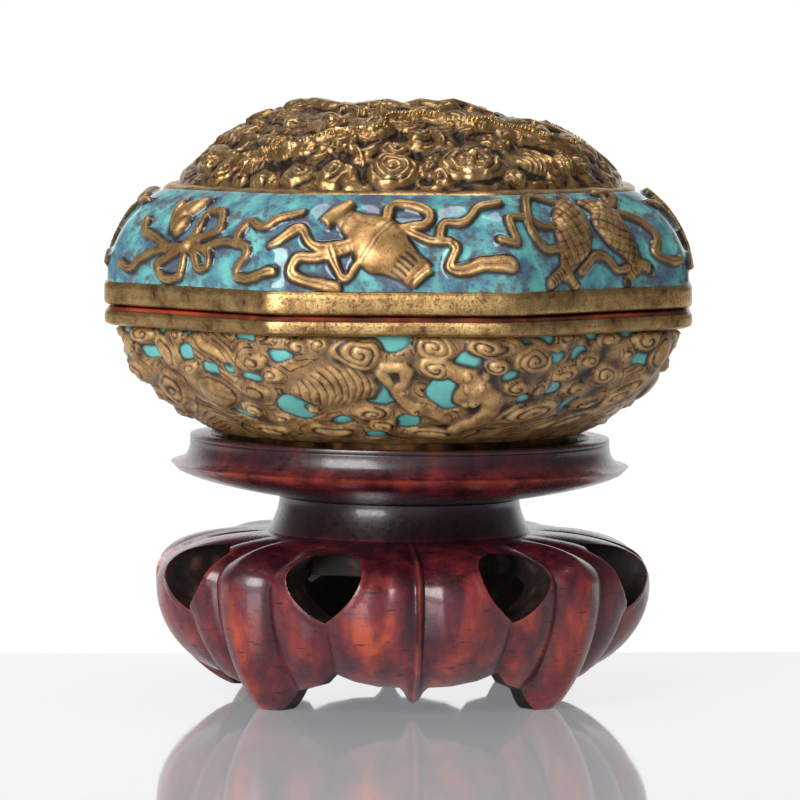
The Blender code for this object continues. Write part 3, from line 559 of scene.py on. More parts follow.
def smooth_route(points, finer=8):
    """A smooth curve through a few points, as a finer row of points."""
    points = np.array(points, dtype=float)
    padded = np.vstack([2 * points[0] - points[1], points, 2 * points[-1] - points[-2]])
    route = []
    for a, b, c, d in zip(padded, padded[1:], padded[2:], padded[3:]):
        for t in np.arange(finer) / finer:
            bend = 2 * a - 5 * b + 4 * c - d
            twist = 3 * b - a - 3 * c + d
            route.append(b + 0.5 * t * (c - a + t * (bend + t * twist)))
    route.append(points[-1])
    return np.array(route)


def waves(points, size, seed):
    """Gentle unevenness between about -1 and 1, of hand-worked metal, with a size in millimetres."""
    random = np.random.default_rng(seed)
    total = np.zeros(len(points))
    for _ in range(8):
        way = random.normal(size=3)
        way *= 2.0 * math.pi / (size * random.uniform(0.7, 1.6) * np.linalg.norm(way))
        total += np.sin(points @ way + random.uniform(0, 2 * math.pi))
    return total / 3.2


def off_line(run):
    """Distance to the nearest of the lines that lie halfway between whole numbers."""
    return np.abs(run - np.floor(run) - 0.5)


class Carving:
    """Relief on a surface that is laid out flat, in millimetres: how far each point stands out, how
    far it lies inside the gilding's edge, how near it is to a cut line, and how far outside the
    nearest cloud. Places are given in units; where per_degree is given, the first number of a place
    is an angle in degrees, and the carving comes again every so many degrees."""

    def __init__(self, across, up, points, wander=0.3, unit=1.0, per_degree=None, repeat=360.0):
        self.across, self.up, self.unit = across, up, unit
        self.per_degree, self.repeat = per_degree, repeat
        self.wander_x = wander * (waves(points, 6.0, 51) + 0.35 * waves(points, 2.4, 53))
        self.wander_y = wander * (waves(points, 6.0, 52) + 0.35 * waves(points, 2.4, 54))
        self.height = np.zeros(len(up))
        self.inside = np.full(len(up), -FAR)
        self.line = np.full(len(up), FAR)
        self.beyond = np.full(len(up), FAR)

    def near(self, centre, reach):
        """Points within reach of a place, and where they lie from it."""
        down = self.up - centre[1] * self.unit
        if self.per_degree is None:
            over = self.across - centre[0] * self.unit
        else:
            half = 0.5 * self.repeat
            over = ((self.across - centre[0] + half) % self.repeat - half) * self.per_degree(self.up)
        here = np.flatnonzero((np.abs(over) < reach) & (np.abs(down) < reach))
        return here, over[here] + self.wander_x[here], down[here] + self.wander_y[here]

    def oval(self, centre, half_length, half_width, tilt):
        """Points near an oval, where they lie in it, and how far out, 1 at its edge."""
        long, wide = half_length * self.unit, half_width * self.unit
        here, x, y = self.near(centre, max(long, wide) + 3.0)
        turn = math.radians(tilt)
        a = (x * math.cos(turn) + y * math.sin(turn)) / long
        b = (y * math.cos(turn) - x * math.sin(turn)) / wide
        return here, a, b, np.hypot(a, b), min(long, wide)

    def lay(self, here, height, inside, line):
        """Keeps what stands higher."""
        chosen = (height > self.height[here]) & (inside > 0.0)
        at = here[chosen]
        self.height[at] = height[chosen]
        self.line[at] = np.minimum(line, 0.9 * inside)[chosen]
        self.inside[here] = np.maximum(self.inside[here], inside)
        self.beyond[here] = np.minimum(self.beyond[here], np.maximum(-inside, 0.0))

    def curl(self, centre, half_length, half_width, tilt=0.0, tall=1.0, hand=1.0, spacing=0.85):
        """A cloud's curl: a low dome cut with one spiral line that runs in to its eye."""
        here, a, b, out, size = self.oval(centre, half_length, half_width, tilt)
        rounds = max(1.3, size / spacing)
        phase = out * rounds - hand * np.arctan2(b, a) / (2.0 * math.pi)
        near_line = np.where(out > 0.9, FAR, off_line(phase) * size / rounds)
        rise = tall * (0.7 * domed(out, 5) + 0.3 * domed(out, 2, 1))
        eye = 0.2 * bell(out * rounds, 0.4)
        rounded = 0.07 * np.cos(2.0 * math.pi * phase) * (out < 0.9)
        height = rise + rounded - 0.17 * bell(near_line, 0.2) + eye
        self.lay(here, np.maximum(height, 0.02), (1.0 - out) * size, near_line)

    def knob(self, centre, size, rise):
        """A small knob on top of what is there."""
        here, a, b, out, size = self.oval(centre, size, size, 0.0)
        within = out < 1.0
        self.height[here[within]] += rise * domed(out[within])
        self.line[here[within]] = 0.9 * (1.0 - out[within]) * size

    def mound(self, centre, half_length, half_width, tilt=0.0, tall=1.0, fullness=0.6, chased=0.0):
        """A smooth swelling, which may have a line chased along its edge."""
        here, a, b, out, size = self.oval(centre, half_length, half_width, tilt)
        inside = (1.0 - out) * size
        line = np.abs(inside - chased) if chased else np.full(len(here), FAR)
        height = tall * domed(out, 2, fullness) - 0.14 * bell(line, 0.2)
        self.lay(here, np.maximum(height, 0.02), inside, line)

    def ribbed(self, centre, half_length, half_width, tilt=0.0, tall=1.0, pitch=0.9):
        """A swelling with ribs across it, as of a shell."""
        here, a, b, out, size = self.oval(centre, half_length, half_width, tilt)
        bent = (a + 0.35 * b ** 2) * half_length * self.unit / pitch
        crest = 0.5 + 0.5 * np.cos(2.0 * math.pi * bent)
        rise = tall * domed(out)
        self.lay(here, np.maximum(rise - 0.25 * (1.0 - crest) * rise, 0.02), (1.0 - out) * size,
                 off_line(bent) * pitch)

    def sunk(self, centre, half_length, half_width, tilt=0.0, power=2.6):
        """A field sunk in the gilt ground for glaze, with a full, wet surface."""
        here, a, b, out, size = self.oval(centre, half_length, half_width, tilt)
        out = (np.abs(a) ** power + np.abs(b) ** power) ** (1.0 / power)
        within = out < 1.0
        depth = (1.0 - out) * size
        fill = 0.05 + 0.16 * part_of(depth, 1.2) ** 0.5
        at = here[within]
        self.height[at] = fill[within]
        self.line[at] = FAR
        self.inside[at] = -depth[within]

    def cord(self, route, half_width, tall, power=4.0, groove=0.0, lines=None, steep=0.5, square=False):
        """A band or limb along a route, which may taper or end square, with a line along its middle
        or its own lines, given the millimetres along it and the side."""
        middle = np.mean(np.array(route, dtype=float), axis=0)
        local = np.array(route, dtype=float) - middle
        if self.per_degree is None:
            local = local * self.unit
        else:
            ups = np.array([place[1] for place in route])
            local = np.stack([local[:, 0] * self.per_degree(ups), local[:, 1]], axis=1)
        local = smooth_route(local)
        widths = np.atleast_1d(half_width) * self.unit
        reach = np.abs(local).max() + widths.max() + 2.5
        here, x, y = self.near(middle, reach)
        if not len(here):
            return
        gap, share, side, length = distance_to(x, y, local, square)
        width = np.interp(share, np.linspace(0, 1, len(widths)), widths)
        fall = domed(np.minimum(gap / width, 1.0), power)
        height = tall * fall * (width / widths.max()) ** steep
        line = np.full(len(here), FAR)
        if groove:
            height = height - groove * bell(gap, 0.26 * width) * fall
            line = 1.5 * gap
        if lines is not None:
            line = lines(share * length, side)
            height = height - 0.14 * bell(line, 0.16) * fall
        self.lay(here, np.maximum(height, 0.02), width - gap, line)

    def flow_lines(self, pitch, depth, ground):
        """Cuts lines into the gilt ground that run along the edges of the clouds."""
        open_ground = (self.beyond > 0.0) & (self.inside > 0.0) & (self.line == FAR) & ground
        phase = (self.beyond + 0.35) / pitch
        cut = depth * (0.5 - 0.5 * np.cos(2.0 * math.pi * phase + math.pi))
        self.height[open_ground] -= (cut * 0.8)[open_ground]
        self.line[open_ground] = (off_line(phase) * pitch)[open_ground]


def scales(pitch, wide):
    """Overlapping scales: distance to the nearest scale's edge."""
    def lines(along, side):
        row = np.floor(along / pitch)
        place = side / wide + 0.5 * (row % 2)
        curve = (2.0 * off_line(place)) ** 2
        return off_line(along / pitch - 0.8 * curve) * pitch
    return lines


def spread_out(field, reach, whole=True):
    """The field averaged over its neighbours, round the body and along it."""
    for step in reach:
        rows = np.arange(field.shape[0])
        above, below = field[np.clip(rows - step, 0, None)], field[np.clip(rows + step, None, len(rows) - 1)]
        if whole:
            left, right = np.roll(field, step, axis=1), np.roll(field, -step, axis=1)
        else:
            columns = np.arange(field.shape[1])
            left = field[:, np.clip(columns - step, 0, None)]
            right = field[:, np.clip(columns + step, None, len(columns) - 1)]
        field = (2.0 * field + above + below + left + right) / 6.0
    return field


# Degrees from the front, millimetres down from the band, half length, half width and tilt. A limb has
# its route, its half widths and its height. The pattern goes three times round.
BOWL_PATTERN = 120.0
FIELDS = [
    (-56.8, 0, 1.8, 1.3, 0), (-46, 0, 1.6, 1.0, 0), (-29.8, 0, 2.3, 1.0, 0), (-22.2, 2.8, 1.9, 1.0, 15),
    (-48.8, 3.2, 1.6, 1.3, 0), (-43, 6.1, 1.8, 1.3, 0), (-36.8, 5.0, 1.3, 0.9, 0), (-30.8, 6.4, 1.9, 0.7, 0),
    (-22.5, 11.9, 2.5, 2.3, -40), (-41.8, 14, 2.0, 0.7, -30), (-12.8, 14.2, 1.4, 0.8, 0),
    (-2.5, 8.5, 2.3, 2.3, 0), (-1.5, 0.5, 3.8, 1.6, 0), (11.8, 8.6, 2.8, 2.6, -20),
    (15.2, 3.5, 2.0, 1.2, -20), (3.5, 14.8, 1.7, 1.6, 0), (-4.8, 18.8, 1.2, 1.1, 0), (29.2, 0, 3.0, 1.1, 0),
    (34.5, 3.1, 2.0, 0.9, 0), (41, 3.1, 1.5, 0.9, 20), (23.8, 5.8, 1.3, 0.8, 0), (37.2, 8.2, 1.2, 1.1, 10),
    (29.2, 9.8, 1.2, 0.8, 30), (46, 11.5, 1.7, 1.1, 30), (55.5, 11.9, 1.5, 0.8, 0), (44.5, 0, 1.3, 1.0, 0),
    (54.5, 0, 1.7, 1.0, 0), (60.3, 4.0, 1.9, 1.0, 0),
]
CURLS = [
    (-61, 0.5, 1.3, 1.6, 0), (-50.3, 0.4, 1.8, 1.6, 0), (-49, 5.6, 2.0, 1.3, 0), (-25, 0.5, 1.7, 1.1, 0),
    (-28.5, 4.0, 2.1, 1.2, 0), (-18.8, 1.2, 1.5, 1.1, 0), (-14.3, 1.2, 1.7, 1.3, 0), (-7, 2.6, 3.9, 2.4, -5),
    (-24.8, 6.1, 2.0, 1.3, 0), (-36, 12.6, 2.2, 1.6, 0), (-28, 14, 1.5, 1.1, 0), (-19, 12, 0.9, 0.9, 0),
    (-5, 12.4, 2.9, 2.0, -5), (-3, 15.2, 2.0, 1.8, 0), (8, 1.5, 2.9, 2.1, -10), (8.5, 4.7, 2.9, 2.0, 0),
    (18.8, 1.6, 3.3, 1.7, -5), (5.2, 11.9, 1.2, 1.4, 0), (2, 8.4, 0.9, 1.2, 0), (20.8, 4.2, 1.7, 1.3, 0),
    (28.8, 3.6, 3.5, 2.3, -10), (26.3, 7.6, 2.0, 1.4, 0), (32.8, 8.0, 2.2, 1.2, 15), (37.8, 0.5, 2.3, 1.1, 0),
    (49.2, 0.8, 2.7, 1.4, 0), (59.8, 1.2, 3.3, 1.6, 0), (44.2, 4.2, 2.5, 1.3, 0), (50.3, 6.4, 3.1, 1.9, -20),
    (39.2, 6.0, 2.5, 1.2, 0), (43.5, 8.4, 2.7, 1.4, 15), (55.2, 3.5, 1.5, 1.0, 0),
    (33.2, 12.4, 5.8, 2.3, 15), (60.3, 9.8, 4.7, 2.1, 40),
]
MOUNDS = [
    (-55, 3.5, 2.0, 2.6, 5), (-44.5, 9.6, 4.9, 3.1, 0), (-31.5, 8.9, 2.7, 1.6, 0), (-16, 16.9, 4.4, 1.8, 0),
    (49.8, 14.9, 5.9, 1.4, 25), (51, 11.1, 3.1, 1.3, 15), (10.2, 17.5, 4.3, 1.6, 0), (-36, 17.6, 4.0, 1.5, 0),
]
LIMBS = [
    ([(-2.2, 5.2), (0.6, 8.5), (5.6, 11.6), (12.6, 13.4)], (0.75, 0.9, 1.1, 1.0), 0.95),
    ([(9.4, 3.6), (17.0, 7.0), (22.0, 10.2), (20.6, 14.0), (15.8, 16.0)], (1.0, 1.4, 1.7, 1.8, 1.4), 1.1),
    ([(-1.8, 4.6), (2.2, 4.2), (2.6, 6.4), (1.0, 7.4)], (0.8, 0.9, 0.7), 1.05),
    ([(26.0, 0.0), (31.0, 1.5), (36.5, 1.6)], (0.4, 0.6, 0.5), 0.6),
]


def bowl_half_width(turn):
    """Half width of the bowl at a place on its curve: no turn at the band, a quarter at the foot."""
    return FOOT_RING_RADIUS + (BOWL_RIM - FOOT_RING_RADIUS) * np.maximum(np.cos(turn), 0.0) ** BOWL_TAPER


def bowl_radius(down):
    """Radius of the bowl, so many millimetres down its curve."""
    return bowl_half_width(np.clip(np.asarray(down) / BOWL_DEPTH, 0.0, 0.5 * math.pi))


def carve_bowl(angle, down, points):
    """The bowl's relief, for angles in degrees and millimetres down from the band."""
    work = Carving(angle, down, points, per_degree=lambda d: np.radians(1.0) * bowl_radius(d),
                   repeat=BOWL_PATTERN)
    work.height += 0.45 + 0.1 * waves(points, 5.0, 3)
    work.inside[:] = BARE_METAL
    for degrees, depth, long, wide, tilt in FIELDS:
        work.sunk((degrees, depth), 1.12 * long, 1.12 * wide, -tilt)
    for degrees, depth, long, wide, tilt in MOUNDS:
        work.mound((degrees, depth), long, wide, -tilt, 1.15, chased=0.7)
    for k, (degrees, depth, long, wide, tilt) in enumerate(CURLS):
        tall = 0.95 + 0.25 * min(1.0, wide / 2.2) + 0.15 * math.sin(3.1 * k)
        work.curl((degrees, depth), long, wide, -tilt, tall, 1.0 if k % 2 else -1.0)
    for route, widths, tall in LIMBS:
        work.cord(route, widths, tall, power=2.5)
    work.ribbed((-12, 7.6), 6.3, 3.6, -10, 1.25, 1.1)
    work.mound((-41.5, 2.4), 3.7, 1.0, 30, 1.1)
    work.mound((17, 8.6), 2.7, 2.7, 0, 1.35)
    for x, y in ((15.6, 7.4), (18.6, 7.3), (15.7, 5.9), (18.9, 5.8), (17.1, 9.6), (16.3, 10.4), (18.1, 10.3)):
        work.knob((x, y), 0.6, 0.35)
    work.flow_lines(0.85, 0.1, work.height > 0.3)
    return work


BEHIND = {"inside": BARE_METAL, "cut": FAR, "wear": 0.5}


def note_relief(piece, **fields):
    """Notes what the finish reads on the relief. The wall behind is bare and uncut, and as dark as the
    deepest hollows, with grime and painted shade.
    """
    for name, values in fields.items():
        spare = np.full(len(piece.data.vertices) - values.size, BEHIND[name])
        note(piece, name, np.concatenate([values.ravel(), spare]))


BOWL_ROWS = 118
BOWL_COLUMNS = 680
shares = np.linspace(0.0, 1.0, BOWL_ROWS)


def gilding(tree, place, wear, cut, deepest=0.26):
    """Colour, roughness and bump height of fire-gilt bronze: warm gold, lighter on the crests where it is
    rubbed bright and with a painted highlight, brown where the gilding is worn through, and near black
    in the cut lines with grime and in the hollows with grime and painted shade."""
    patch = add(tree, "ShaderNodeTexNoise", (place, per_metre(2.6), 5.0, 0.65))
    speck = add(tree, "ShaderNodeTexNoise", (place, per_metre(0.32), 3.0, 0.7))
    gold = add(tree, "ShaderNodeValToRGB", {"Fac": patch}, stops=[
        (0.30, "#684a2f"), (0.43, "#987046"), (0.56, "#bb925e"), (0.74, "#d8b87f")])
    # Lighter gold on the crests: rubbed bright, with a painted highlight.
    crest = add(tree, "ShaderNodeMapRange", (wear, -0.1, -0.6, 0.0, 0.3))
    gold = add(tree, "ShaderNodeMix", (crest, gold, "#e6c78c"), data_type="RGBA")
    fleck = add(tree, "ShaderNodeMapRange", (speck, 0.57, 0.68, 0.0, 0.7))
    flecked = add(tree, "ShaderNodeMix", (fleck, gold, "#3d2716"), data_type="RGBA")
    # Near black in the hollows: grime, with painted shade.
    hollow_grime_and_shade = add(tree, "ShaderNodeMapRange", (wear, 0.0, deepest, 0.0, 0.97))
    packed = add(tree, "ShaderNodeMapRange", (patch, 0.44, 0.60, 1.0, 0.65))
    lined = add(tree, "ShaderNodeMapRange", (cut, 0.06, 0.21, 1.0, 0.0))
    lined = add(tree, "ShaderNodeMath", (lined, packed), operation="MULTIPLY")
    grime_and_shade = add(tree, "ShaderNodeMath", (hollow_grime_and_shade, lined), operation="MAXIMUM")
    colour = add(tree, "ShaderNodeMix", (grime_and_shade, flecked, "#140f0d"), data_type="RGBA")
    rough = add(tree, "ShaderNodeMapRange", (patch, 0.3, 0.7, 0.52, 0.34))
    return colour, rough, grime_and_shade, speck


def glaze(tree, place, inside, light_share, mottle_share, cobalt_share):
    """Colour of the turquoise glaze: clear where it pools, clouded purple-grey where it runs thin,
    most of all next to the gilding, with cobalt specks."""
    cloud = add(tree, "ShaderNodeTexNoise", (place, per_metre(4.2), 4.0))
    pool = add(tree, "ShaderNodeValToRGB", {"Fac": cloud}, stops=[
        (0.32, "#43606c"), (0.46, "#52878c"), (0.58, "#62a8a6"), (0.70, "#72bcb4")])
    drift = add(tree, "ShaderNodeTexNoise", (place, per_metre(3.0), 6.0, 0.7))
    edge = add(tree, "ShaderNodeMapRange", (inside, -1.4, -0.2, 0.0, 0.07))
    drawn = add(tree, "ShaderNodeMath", (drift, edge), operation="ADD")
    thin = add(tree, "ShaderNodeMapRange", (drawn, 0.49, 0.60, 0.0, mottle_share))
    clouded = add(tree, "ShaderNodeMix", (thin, pool, "#55505c"), data_type="RGBA")
    specks = add(tree, "ShaderNodeTexNoise", (place, per_metre(0.45), 3.0, 0.75))
    speck = add(tree, "ShaderNodeMapRange", (specks, 0.55, 0.62, 0.0, cobalt_share))
    area = add(tree, "ShaderNodeMapRange", (cloud, 0.56, 0.44, 0.0, 1.0))
    share = add(tree, "ShaderNodeMath", (speck, area), operation="MULTIPLY")
    dotted = add(tree, "ShaderNodeMix", (share, clouded, "#2e4c92"), data_type="RGBA")
    return add(tree, "ShaderNodeMix", (light_share, dotted, "#68bcb2"), data_type="RGBA")


def gilt_and_glaze(name, light_share, mottle_share, cobalt_share, bare_share, flank_shade_share):
    """Gilt relief with glaze between: metal inside the gilding's edge, wet glass outside it, and a dark
    line where the two meet, glaze pooled dark against the metal with painted shade. The shares say how
    light, mottled and specked the glaze is, how much of the gold is bare, and how dark the painted shade on
    its flanks is."""
    made, tree, place = begin(name)
    inside, cut, wear = [add(tree, "ShaderNodeAttribute", attribute_name=noted).outputs["Fac"]
                         for noted in ("inside", "cut", "wear")]
    metal_colour, metal_rough, grime_and_shade, speck = gilding(tree, place, wear, cut)
    # Painted shade on the flanks of the relief, next to the gilding's edge.
    flank_shade = add(tree, "ShaderNodeMapRange", (inside, 0.0, 0.4, flank_shade_share, 0.0))
    metal_colour = add(tree, "ShaderNodeMix", (flank_shade, metal_colour, "#2a1c12"), data_type="RGBA")
    glass_colour = glaze(tree, place, inside, light_share, mottle_share, cobalt_share)
    # A dark line in the glaze along the gilding's edge: glaze pooled dark, with painted shade.
    rim = add(tree, "ShaderNodeMapRange", (inside, -0.5, -0.12, 0.0, 0.9))
    glass = add(tree, "ShaderNodeMix", (rim, glass_colour, "#16181b"), data_type="RGBA")
    metal = add(tree, "ShaderNodeMapRange", (inside, -0.04, 0.06))
    colour = add(tree, "ShaderNodeMix", (metal, glass, metal_colour), data_type="RGBA")
    rough = add(tree, "ShaderNodeMix", (metal, 0.08, metal_rough), data_type="FLOAT")
    clean = add(tree, "ShaderNodeMath", (1.0, grime_and_shade), operation="SUBTRACT")
    shine = add(tree, "ShaderNodeMath", (clean, metal), operation="MULTIPLY")
    bump = add(tree, "ShaderNodeBump", {"Height": speck, "Strength": shine, "Distance": 0.05 * MM})
    metallic = add(tree, "ShaderNodeMath", (shine, bare_share), operation="MULTIPLY")
    shader = add(tree, "ShaderNodeBsdfPrincipled", {"Base Color": colour, "Metallic": metallic,
                                                    "Roughness": rough, "Normal": bump})
    add(tree, "ShaderNodeOutputMaterial", {"Surface": shader})
    return made


# Fire-gilt cast bronze with glass glaze fused in the sunk fields: satin gold and wet turquoise.
bowl_finish = gilt_and_glaze("gilt bronze with turquoise fields", light_share=0.6, mottle_share=0.3,
                             cobalt_share=0.3, bare_share=0.38, flank_shade_share=0.45)

for half, start in (("front", -90.0), ("back", 90.0)):
    degrees = start + np.linspace(0.0, 180.0, BOWL_COLUMNS)
    angle = np.radians(degrees)
    skin = np.array([soft_ring(angle, bowl_half_width(turn), BOWL_TOP - BOWL_DEPTH * math.sin(turn),
                               bowl_corners(share))
                     for share, turn in zip(shares, 0.5 * math.pi * shares)])
    normal = outward(skin, whole=False)
    down = np.repeat(shares * BOWL_DEPTH * 0.5 * math.pi, BOWL_COLUMNS)
    work = carve_bowl(np.tile(degrees, BOWL_ROWS), down, skin.reshape(-1, 3))
    fade = part_of(shares, 0.02) * part_of(1.0 - shares, 0.12)
    height = spread_out(work.height.reshape(BOWL_ROWS, BOWL_COLUMNS), (1,), whole=False)
    hollow = spread_out(height, (3, 5, 7), whole=False) - height
    outer = skin + normal * (np.minimum(height, BOX_RELIEF) * fade[:, None])[:, :, None]
    inner = (skin - normal * SKIN)[::-20]
    points, faces = body_through(np.concatenate([outer, inner]), whole=False)
    piece = piece_of("bowl_" + half, turned(points), faces, 60.0)
    note_relief(piece, inside=work.inside, cut=work.line, wear=hollow)
    piece.data.materials.append(bowl_finish)
    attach(piece, "root")
    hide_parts("box")


# ---------------------------------------------------------------------------------------------
# The inside of the box. The bare cast wall under the relief: a smooth well for the seal paste, the
# thin lip that locates the lid, and the turned foot ring that rests in the stand's recess.

LID_WALL = 2.6
LID_SIDE_FOOT = 43.5
BOX_RIM = 59.8
BOX_WALL = 2.8
LIP_HEIGHT = 2.6
LIP_WALL = 1.6
LIP_CLEARANCE = 0.4
BOWL_BOTTOM = 40.4
WELL_TAPER = 1.5

angle = around(200)
lip_outer = LID_SIDE_FOOT - LID_WALL - LIP_CLEARANCE
well = lip_outer - LIP_WALL
floor = BOWL_BOTTOM + BOX_WALL
well_foot = FOOT_RING_RADIUS - BOX_WALL
rings = [soft_ring(angle, well_foot * share, floor, FOOT_CORNERS) for share in (0.3, 0.7, 1.0)]
for share, turn in quarter(12):
    rings.append(soft_ring(angle, well_foot + (well - well_foot) * math.sin(turn) ** WELL_TAPER,
                           floor + (BOWL_TOP - floor) * (1.0 - math.cos(turn)), bowl_corners(1.0 - share)))
for half_width, height in ((well, BOX_RIM + LIP_HEIGHT - 0.2), (well + 0.2, BOX_RIM + LIP_HEIGHT),
                           (lip_outer - 0.2, BOX_RIM + LIP_HEIGHT), (lip_outer, BOX_RIM + LIP_HEIGHT - 0.2),
                           (lip_outer, BOX_RIM - 0.3), (BOWL_RIM - 0.2, BOX_RIM - 0.3),
                           (BOWL_RIM - 0.2, BOWL_TOP)):
    rings.append(soft_ring(angle, half_width, height))
for share, turn in quarter(14):
    rings.append(soft_ring(angle, bowl_half_width(turn) - 1.2 * (1.0 - share),
                           BOWL_TOP - (BOWL_DEPTH - 0.2) * math.sin(turn) + 0.2, bowl_corners(share)))
for half_width, height in ((FOOT_RING_RADIUS, BOX_FOOT + 0.3), (FOOT_RING_RADIUS - 0.3, BOX_FOOT),
                           (FOOT_RING_RADIUS - FOOT_RING_WALL, BOX_FOOT),
                           (FOOT_RING_RADIUS - FOOT_RING_WALL, BOWL_BOTTOM - 0.8)):
    rings.append(soft_ring(angle, half_width, height, 4.0))
points, faces = body_through(rings, [(0, 0, floor), (0, 0, BOWL_BOTTOM - 0.8)])
box_inside = piece_of("box_inside", turned(points), faces, 40.0)

# Bare cast bronze, browned with age: dull, brown and a little uneven.
bare_bronze, tree, place = begin("browned cast bronze")
patch = add(tree, "ShaderNodeTexNoise", (place, per_metre(3.0), 5.0))
brown = add(tree, "ShaderNodeValToRGB", {"Fac": patch}, stops=[
    (0.3, "#2a1a10"), (0.5, "#503420"), (0.7, "#7a5430")])
grit = add(tree, "ShaderNodeTexNoise", (place, per_metre(0.4), 3.0))
bump = add(tree, "ShaderNodeBump", {"Height": grit, "Strength": 0.5, "Distance": 0.05 * MM})
shader = add(tree, "ShaderNodeBsdfPrincipled", {"Base Color": brown, "Metallic": 1.0, "Roughness": 0.5,
                                                "Normal": bump})
add(tree, "ShaderNodeOutputMaterial", {"Surface": shader})
box_inside.data.materials.append(bare_bronze)
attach(box_inside, "root")
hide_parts("box")


# ---------------------------------------------------------------------------------------------
# The two rim bands and the red edge. The rims of the lid and of the box are plain raised bands,
# filed flat by hand and gilt over a sandy cast skin, so the gold is speckled with dark pits. A thin
# edge of iron-red ground shows between them, where the gilding stops.

RED_EDGE_SET_IN = 0.7
LID_RIM = 60.1
LID_BAND_TOP = 63.4
BOX_BAND_TOP = 59.3
BAND_INSIDE = 40.95
BAND_COLUMNS = 400


def band_profile(edges, count):
    """Points along a profile, evenly shared out between its corners."""
    route = []
    for (a, b), (c, d) in zip(edges, edges[1:]):
        for share in np.arange(count) / count:
            route.append((a + (c - a) * share, b + (d - b) * share))
    return [*route, edges[-1]]


def make_band(name, edges, unevenness, finish, slot, seed):
    """A band round the rim with its edges eased, closed behind."""
    angle = around(BAND_COLUMNS)
    rings = []
    for half_width, height in [*band_profile(edges, 4), (BAND_INSIDE, edges[-1][1]),
                               (BAND_INSIDE, edges[0][1])]:
        ring = soft_ring(angle, half_width, height)
        if half_width > BAND_INSIDE:
            ring[:, :2] *= 1.0 - unevenness * (1.2 + waves(ring, 6.0, seed)[:, None]) / RIM
            ring[:, 2] += 0.6 * unevenness * waves(ring * np.array([1.0, 1.0, 0.0]), 14.0, seed + 1)
        rings.append(ring)
    points, faces = body_through(rings)
    band = piece_of(name, turned(points), faces, 60.0)
    band.data.materials.append(finish)
    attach(band, "root")
    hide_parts(slot)
    return band


# Gilt bronze, worn and pitted: speckled gold over a brown sandy skin, satin.
pitted_gilt, tree, place = begin("pitted gilt bronze")
patch = add(tree, "ShaderNodeTexNoise", (place, per_metre(3.5), 8.0, 0.8))
gold = add(tree, "ShaderNodeValToRGB", {"Fac": patch}, stops=[
    (0.34, "#4c3624"), (0.43, "#96744a"), (0.55, "#be9b64"), (0.70, "#d6b77e")])
grit = add(tree, "ShaderNodeTexNoise", (place, per_metre(0.36), 3.0))
pits = add(tree, "ShaderNodeMapRange", (grit, 0.54, 0.66, 0.0, 0.85))
colour = add(tree, "ShaderNodeMix", (pits, gold, "#33241a"), data_type="RGBA")
shine = add(tree, "ShaderNodeMath", (1.0, pits), operation="SUBTRACT")
bump = add(tree, "ShaderNodeBump", {"Height": grit, "Strength": 0.6, "Distance": 0.06 * MM}, invert=True)
shader = add(tree, "ShaderNodeBsdfPrincipled", {"Base Color": colour, "Metallic": shine,
                                                "Roughness": 0.36, "Normal": bump})
add(tree, "ShaderNodeOutputMaterial", {"Surface": shader})

# Iron-red ground, fired: brick red, half glossy, browner where it is worn.
red_ground, tree, place = begin("iron-red ground")
patch = add(tree, "ShaderNodeTexNoise", (place, per_metre(7.0), 4.0))
red = add(tree, "ShaderNodeValToRGB", {"Fac": patch}, stops=[
    (0.38, "#3a1812"), (0.5, "#6e2a1c"), (0.62, "#9c3c22")])
shader = add(tree, "ShaderNodeBsdfPrincipled", {"Base Color": red, "Roughness": 0.3})
add(tree, "ShaderNodeOutputMaterial", {"Surface": shader})

make_band("box_band", [(RIM - 0.6, BOX_BAND_TOP), (RIM - 0.1, BOX_BAND_TOP - 0.2), (RIM, BOX_BAND_TOP - 0.7),
                       (RIM, BOWL_TOP + 0.9), (RIM - 0.1, BOWL_TOP + 0.4), (RIM - 0.9, BOWL_TOP)],
          unevenness=0.05, finish=pitted_gilt, slot="box", seed=11)
make_band("red_edge", [(RIM - 1.2, BOX_RIM), (RIM - RED_EDGE_SET_IN, BOX_RIM - 0.08),
                       (RIM - 0.5, BOX_RIM - 0.3), (RIM - 0.6, BOX_BAND_TOP - 0.1)],
          unevenness=0.03, finish=red_ground, slot="box", seed=13)
make_band("lid_band", [(RIM - 0.9, LID_BAND_TOP + 0.25), (RIM - 0.25, LID_BAND_TOP + 0.1),
                       (RIM, LID_BAND_TOP - 0.45), (RIM, LID_RIM + 0.6), (RIM - 0.12, LID_RIM + 0.25),
                       (RIM - 0.5, LID_RIM)],
          unevenness=0.05, finish=pitted_gilt, slot="lid", seed=17)


# ---------------------------------------------------------------------------------------------
# The lid's eight sides. Bronze panels that curve in towards the dome, each with one of the eight
# treasures tied with ribbons, cast in relief and gilt. A thick turquoise glaze, clouded purple-grey
# and specked with cobalt, was run in round them: it draws up at their edges.

LID_SIDE_RISE = 14.0
LID_SIDE_SET_IN = 8.3
LID_RELIEF = 1.8
DOME_BASE = LID_BAND_TOP + LID_SIDE_RISE
DOME_EDGE = 33.5
DOME_BORDER = 1.7
DOME_CORNERS = 34.0
SIDE_ROWS = 74
SIDE_COLUMNS = 1200
SIDE_CLIMB = 0.985
RIBBON = 0.041
side_radius = (LID_SIDE_RISE ** 2 + LID_SIDE_SET_IN ** 2) / (2.0 * LID_SIDE_SET_IN)
side_sweep = math.asin(LID_SIDE_RISE / side_radius)
panel_height = side_radius * side_sweep


def side_ring(angle, offset, share):
    """A level of the sides, moved inwards, at a share of the climb."""
    turn = side_sweep * share
    half_width = LID_SIDE_FOOT - side_radius + (side_radius - offset) * math.cos(turn)
    return soft_ring(angle, half_width, LID_BAND_TOP + (side_radius - offset) * math.sin(turn),
                     SOFT_CORNERS + (DOME_CORNERS - SOFT_CORNERS) * share)


